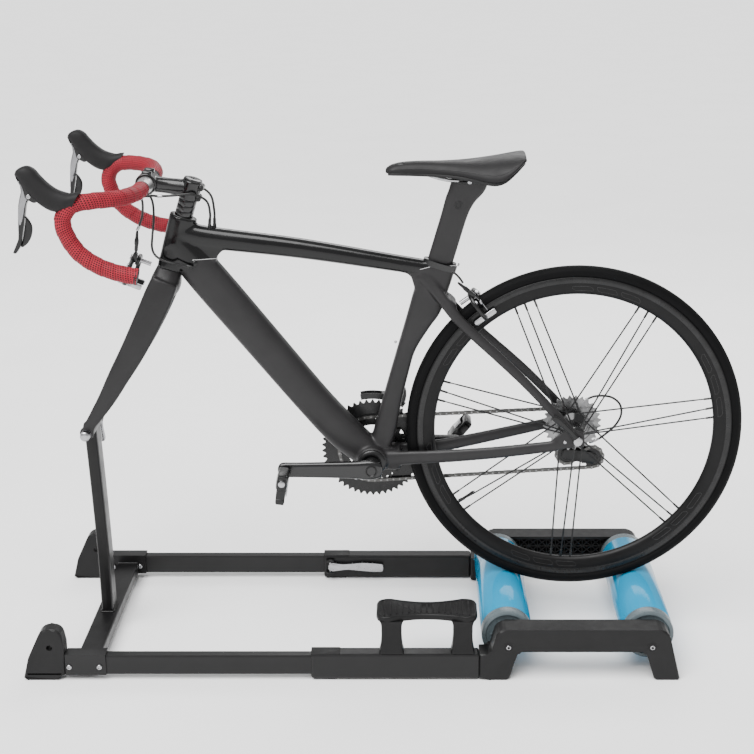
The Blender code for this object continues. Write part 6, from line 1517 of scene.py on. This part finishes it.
def derailleurs():
    (gx, gz), (tx, tz) = GUIDE, TENSION
    y = COG_Y
    cage = rounded([(gx - 0.014, gz - 0.010, 0.008), (tx + 0.004, tz - 0.014, 0.008),
                    (tx + 0.014, tz + 0.002, 0.008),
                    (tx - 0.004, tz + 0.012, 0.008), (gx - 0.006, gz + 0.012, 0.008)])
    parts = [plate(cage, y + 0.0042, y + 0.0062, 0.0004), plate(cage, y - 0.0062, y - 0.0046, 0.0004)]
    knuckle = Vector((gx + 0.030, y, gz + 0.004))
    parts.append(spun([(0.0120, 0.0050), (0.0148, 0.0060), (0.0150, 0.0080), (0.0150, 0.0230),
                       (0.0140, 0.0260),
                       (0.0110, 0.0272), (0.0070, 0.0272), (0.0062, 0.0255), (0.0040, 0.0255)], knuckle, Y,
                      56))
    link = ((gx + 0.028, gz + 0.010, 0.0140, 0.0062, y + 0.0180),
            (gx + 0.026, gz + 0.028, 0.0125, 0.0066, y + 0.0190),
            (WHEEL_X + 0.014, 0.4010, 0.0120, 0.0066, y + 0.0190),
            (WHEEL_X + 0.012, 0.4080, 0.0110, 0.0062, y + 0.0185))
    parts.append(oval_tube(link, 5, 32, 3.2))
    parts.append(spun([(0.0110, 0.0100), (0.0128, 0.0112), (0.0128, 0.0230), (0.0110, 0.0250),
                       (0.0060, 0.0250),
                       (0.0050, 0.0235)], Vector((WHEEL_X + 0.0100, y, 0.4060)), Y, 48))
    hanger = rounded([(WHEEL_X - 0.004, 0.3960, 0.006), (WHEEL_X + 0.022, 0.3960, 0.006),
                      (WHEEL_X + 0.018, WHEEL_Z - 0.0120, 0.004), (WHEEL_X + 0.002, WHEEL_Z - 0.0120, 0.004)])
    parts.append(plate(hanger, 0.0656, 0.0702, 0.0008))
    make("rear_derailleur_body", "main_frame", "satin", parts, replaces=["rear_derailleur"],
         angle=45)
    screws = [bolt((gx, y + 0.0062, gz), Y, 0.0042, 0.0020), bolt((tx, y + 0.0062, tz), Y, 0.0042, 0.0020),
              bolt((WHEEL_X + 0.0100, y + 0.0250, 0.4060), Y, 0.0050, 0.0020),
              bolt((gx + 0.030, y + 0.0262, gz + 0.004), Y, 0.0052, 0.0022),
              spun([(0.0030, 0), (0.0042, 0.002), (0.0042, 0.010), (0.0034, 0.014)],
                   Vector((0.4080, 0.0668, 0.3760)),
                   (0.9, 0.1, 0.25), 20)]
    make("rear_derailleur_screws", "main_frame", "silver", screws)
    for name, place in (("guide_pulley", GUIDE), ("tension_pulley", TENSION)):
        wheel_geo = [gear(place, 11, y - 0.0012, y + 0.0012, 0.0100, 0.0036)]
        centre = Vector((place[0], y, place[1]))
        wheel_geo.append(spun([(0.0033, -0.0030), (0.0070, -0.0030), (0.0110, -0.0008), (0.0110, 0.0008),
                               (0.0070, 0.0030),
                               (0.0033, 0.0030)], centre, Y, 32, ring=True))
        make(f"{name}_toothed", name, "satin", wheel_geo, replaces=[name], angle=30)
    arcs_out, arcs_in = [], []
    for k in range(15):
        a = math.radians(mix(102, 56, k / 14))
        arcs_in.append((BB.x + 0.1085 * math.cos(a), BB.z + 0.1085 * math.sin(a)))
        arcs_out.append((BB.x + 0.1205 * math.cos(a), BB.z + 0.1205 * math.sin(a)))
    outline = arcs_in + arcs_out[::-1]
    parts = [plate(outline, 0.0335, 0.0350, 0.0004), plate(outline, 0.0520, 0.0535, 0.0004)]
    parts.append(block((BB.x + 0.018, 0.0338, BB.z + 0.1155), (BB.x + 0.046, 0.0532, BB.z + 0.1195), 0.0012,
                       2))
    parts.append(oval_tube(((0.0200, 0.4750, 0.0100, 0.0080, 0.0255), (0.0235, 0.4900, 0.0110, 0.0085, 0.0250),
                            (0.0250, 0.5040, 0.0090, 0.0080, 0.0240),
                            (0.0250, 0.5095, 0.0050, 0.0060, 0.0240)), 4, 28, 3))
    parts.append(plate(rounded([(0.0100, 0.4800, 0.003), (0.0300, 0.4800, 0.003), (0.0340, 0.5080, 0.004),
                                (0.0140, 0.5080, 0.004)]), 0.0130, 0.0200, 0.0015))
    make("front_derailleur_body", "main_frame", "satin", parts, replaces=["front_derailleur"],
         angle=45)
    make("front_derailleur_screws", "main_frame", "silver",
         [bolt((0.0235, 0.0332, 0.4920), Y, 0.0044, 0.0020),
          bolt((0.0240, 0.0332, 0.5040), Y, 0.0030, 0.0018)])
    x, z = WHEEL_X, WHEEL_Z
    axle = [spun([(0.0050, -0.0700), (0.0050, 0.0700)], (x, 0, z), Y, 24),
            spun([(0.0088, 0.0708), (0.0092, 0.0716), (0.0092, 0.0760), (0.0070, 0.0790), (0.0030, 0.0795)],
                 (x, 0, z), Y, 40),
            spun([(0.0088, 0.0708), (0.0094, 0.0716), (0.0094, 0.0770), (0.0080, 0.0800), (0.0030, 0.0808)],
                 (x, 0, z), -Y, 40)]
    make("rear_axle_turned", "main_frame", "silver", axle, replaces=["rear_axle"])
    handle = []
    for t, px, pz, w in smooth_values(((0, x, z, 0.0060), (1, x - 0.012, z + 0.018, 0.0050),
                                       (2, x - 0.028, z + 0.034, 0.0052),
                                       (3, x - 0.042, z + 0.046, 0.0066), (4, x - 0.050, z + 0.052, 0.0040)),
                                      5):
        way = Vector((-0.62, 0, 0.78))
        handle.append(superellipse(Vector((px, -0.0780 - 0.0010 * t, pz)), Vector((way.z, 0, -way.x)), Y, w,
                                   0.0020, 20, 2.6))
    make("rear_quick_release_handle", "main_frame", "satin", [skin(handle)])


def skewer():
    x, z, cam = FORK_AXLE.x, FORK_AXLE.z, 0.0720
    rows = ((0.0060, cam, 0.0040, 0.0020), (0.0030, cam, 0.0078, 0.0054), (-0.0060, cam, 0.0080, 0.0055),
            (-0.0140, 0.0725, 0.0068, 0.0044), (-0.030, 0.0760, 0.0058, 0.0025),
            (-0.046, 0.0782, 0.0076, 0.0026),
            (-0.056, 0.0790, 0.0084, 0.0025), (-0.0625, 0.0790, 0.0060, 0.0018),
            (-0.0640, 0.0790, 0.0030, 0.0010))
    rings = [superellipse(Vector((x, y, z + dz)), X, Y, a, b, 28, 2.5) for dz, y, a, b in smooth_values(rows,
                                                                                                        4)]
    make("skewer_lever_shaped", "skewer_lever", "silver", [skin(rings)], replaces=["fork_skewer_lever"],
         angle=60)
    nut = [spun([(0.0060, 0.0600), (0.0092, 0.0605), (0.0098, 0.0620), (0.0094, 0.0700), (0.0066, 0.0722),
                 (0.0030, 0.0724)],
                (x, 0, z), -Y, 28)]
    make("skewer_nut_knurled", "stand", "silver", nut)


# ---------------------------------------------------------------- cables

ROUTES = {
    "cable_front_brake": [(-0.4700, -0.0290, 0.9080), (-0.4650, -0.0250, 0.8950), (-0.4670, -0.0200, 0.8700),
                          (-0.4740, -0.0180, 0.8480), (-0.4790, -0.0170, 0.8380)],
    "cable_shift_right": [(-0.4690, 0.0300, 0.9070), (-0.4560, 0.0310, 0.8850), (-0.4540, 0.0260, 0.8500),
                          (-0.4560, 0.0120, 0.8200), (-0.4540, -0.0080, 0.8000), (-0.4430, -0.0250, 0.7880),
                          (-0.4200, -0.0335, 0.7790), (-0.3950, -0.0325, 0.7730), (-0.3760, -0.0305, 0.7690)],
    "cable_rear_brake": [(-0.4350, -0.0300, 0.9060), (-0.4050, -0.0330, 0.9080), (-0.3700, -0.0310, 0.9100),
                         (-0.3450, -0.0200, 0.8960), (-0.3400, -0.0080, 0.8700), (-0.3420, -0.0060, 0.8480)],
    "cable_shift_left": [(-0.4350, 0.0300, 0.9060), (-0.4050, 0.0330, 0.9100), (-0.3680, 0.0310, 0.9140),
                         (-0.3420, 0.0200, 0.9000), (-0.3340, 0.0080, 0.8720), (-0.3340, 0.0060, 0.8470)],
    "cable_rear_derailleur": [(0.3960, 0.0720, 0.4640), (0.4200, 0.0760, 0.4720), (0.4500, 0.0780, 0.4700),
                              (0.4700, 0.0780, 0.4550), (0.4740, 0.0770, 0.4320), (0.4620, 0.0760, 0.4080),
                              (0.4350, 0.0720, 0.3850), (0.4200, 0.0680, 0.3780)],
}


def cables():
    for name, route in ROUTES.items():
        path = curve_through(route, 8)
        parts = [tube(path, 0.0023, 16)]
        body = "main_frame" if name == "cable_rear_derailleur" else "front_end"
        ends = []
        for a, b in ((path[0], path[1]), (path[-1], path[-2])):
            way = (b - a).normalized()
            ends.append(spun([(0.0022, -0.0010), (0.0030, 0.0), (0.0030, 0.0090), (0.0025, 0.0100)], a, way,
                             20))
        crosses = name in ("cable_shift_right", "cable_rear_brake", "cable_shift_left")
        obj = make(f"{name}_casing", None if crosses else body, "cable", parts, replaces=[name],
                   angle=60)
        if crosses:
            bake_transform(obj)
            make(f"{name}_ferrule_front", "front_end", "silver", ends[:1])
            make(f"{name}_ferrule_frame", "main_frame", "satin", ends[1:])
        else:
            make(f"{name}_ferrules", body, "silver", ends)
    lead = []
    for side in (-1, 1):
        run = curve_through([(-0.4700 if side < 0 else -0.4690, side * 0.0300, 0.9078),
                             (-0.4640, side * 0.0380, 0.9130),
                             (-0.4560, side * 0.0520, 0.9150), (-0.4530, side * 0.0660, 0.9140)], 6)
        lead.append(tube(run, 0.0022, 14))
        run = curve_through([(-0.4350, side * 0.0300, 0.9062), (-0.4420, side * 0.0400, 0.9090),
                             (-0.4500, side * 0.0540, 0.9110), (-0.4560, side * 0.0680, 0.9130)], 6)
        lead.append(tube(run, 0.0022, 14))
    make("cable_leads_to_tape", "front_end", "cable", lead)
    run = curve_through([(0.1220, -0.0100, 0.7560), (0.1300, -0.0140, 0.7510), (0.1380, -0.0168, 0.7430),
                         (0.1440, -0.0172, 0.7340)], 6)
    make("rear_brake_casing", "main_frame", "cable", [tube(run, 0.0022, 14)])


# ---------------------------------------------------------------- surroundings

def light(name, place, target, size, power, colour=(1, 1, 1)):
    data = bpy.data.lights.new(name, "AREA")
    data.shape = "RECTANGLE"
    data.size, data.size_y = size
    data.energy = power
    data.color = colour
    obj = bpy.data.objects.new(name, data)
    obj.location = place
    obj.rotation_mode = "QUATERNION"
    obj.rotation_quaternion = (Vector(target) - Vector(place)).to_track_quat("-Z", "Y")
    bpy.context.scene.collection.objects.link(obj)


def surroundings():
    cam = bpy.data.cameras.new("camera")
    cam.lens, cam.sensor_width = 71.44, 36
    cam.shift_x, cam.shift_y = -0.0466, -0.0361
    obj = bpy.data.objects.new("camera", cam)
    obj.location = (0.0459, -2.8172, 1.4516)
    obj.rotation_euler = (math.radians(73.07), 0, 0)
    bpy.context.scene.collection.objects.link(obj)
    bpy.context.scene.camera = obj
    floor = bpy.data.meshes.new("floor")
    floor.from_pydata([(-40, -40, 0), (40, -40, 0), (40, 40, 0), (-40, 40, 0)], [], [(0, 1, 2, 3)])
    mat, nodes, links, shader = shader_of("pale_floor")
    tone = ramp(nodes, links, noise_node(nodes, links, 3),
                ((0.3, (0.90, 0.90, 0.90)), (0.7, (0.93, 0.93, 0.93))))
    links.new(tone, shader.inputs["Base Color"])
    shader.inputs["Roughness"].default_value = 0.85
    floor.materials.append(mat)
    ground = bpy.data.objects.new("floor", floor)
    bpy.context.scene.collection.objects.link(ground)
    world = bpy.data.worlds.new("studio")
    world.use_nodes = True
    back = world.node_tree.nodes["Background"]
    back.inputs["Color"].default_value = (1, 1, 1, 1)
    back.inputs["Strength"].default_value = 0.75
    bpy.context.scene.world = world
    sun = bpy.data.lights.new("soft_sun", "SUN")
    sun.energy, sun.angle = 5.2, math.radians(50)
    sky = bpy.data.objects.new("soft_sun", sun)
    sky.rotation_euler = (math.radians(24), math.radians(-16), 0)
    bpy.context.scene.collection.objects.link(sky)
    light("key", (-1.6, -2.4, 2.8), (0, 0, 0.4), (2.2, 1.4), 50)
    light("rim", (0.6, 2.4, 2.4), (0, 0, 0.5), (2.4, 1.0), 40)


surroundings()
stand()
lock_levers()
footstep()
rollers()
main_frame()
fork()
stem()
handlebar()
hoods()
brakes()
seatpost()
saddle()
wheel()
cassette()
chain()
crankset()
pedals()
derailleurs()
skewer()
cables()
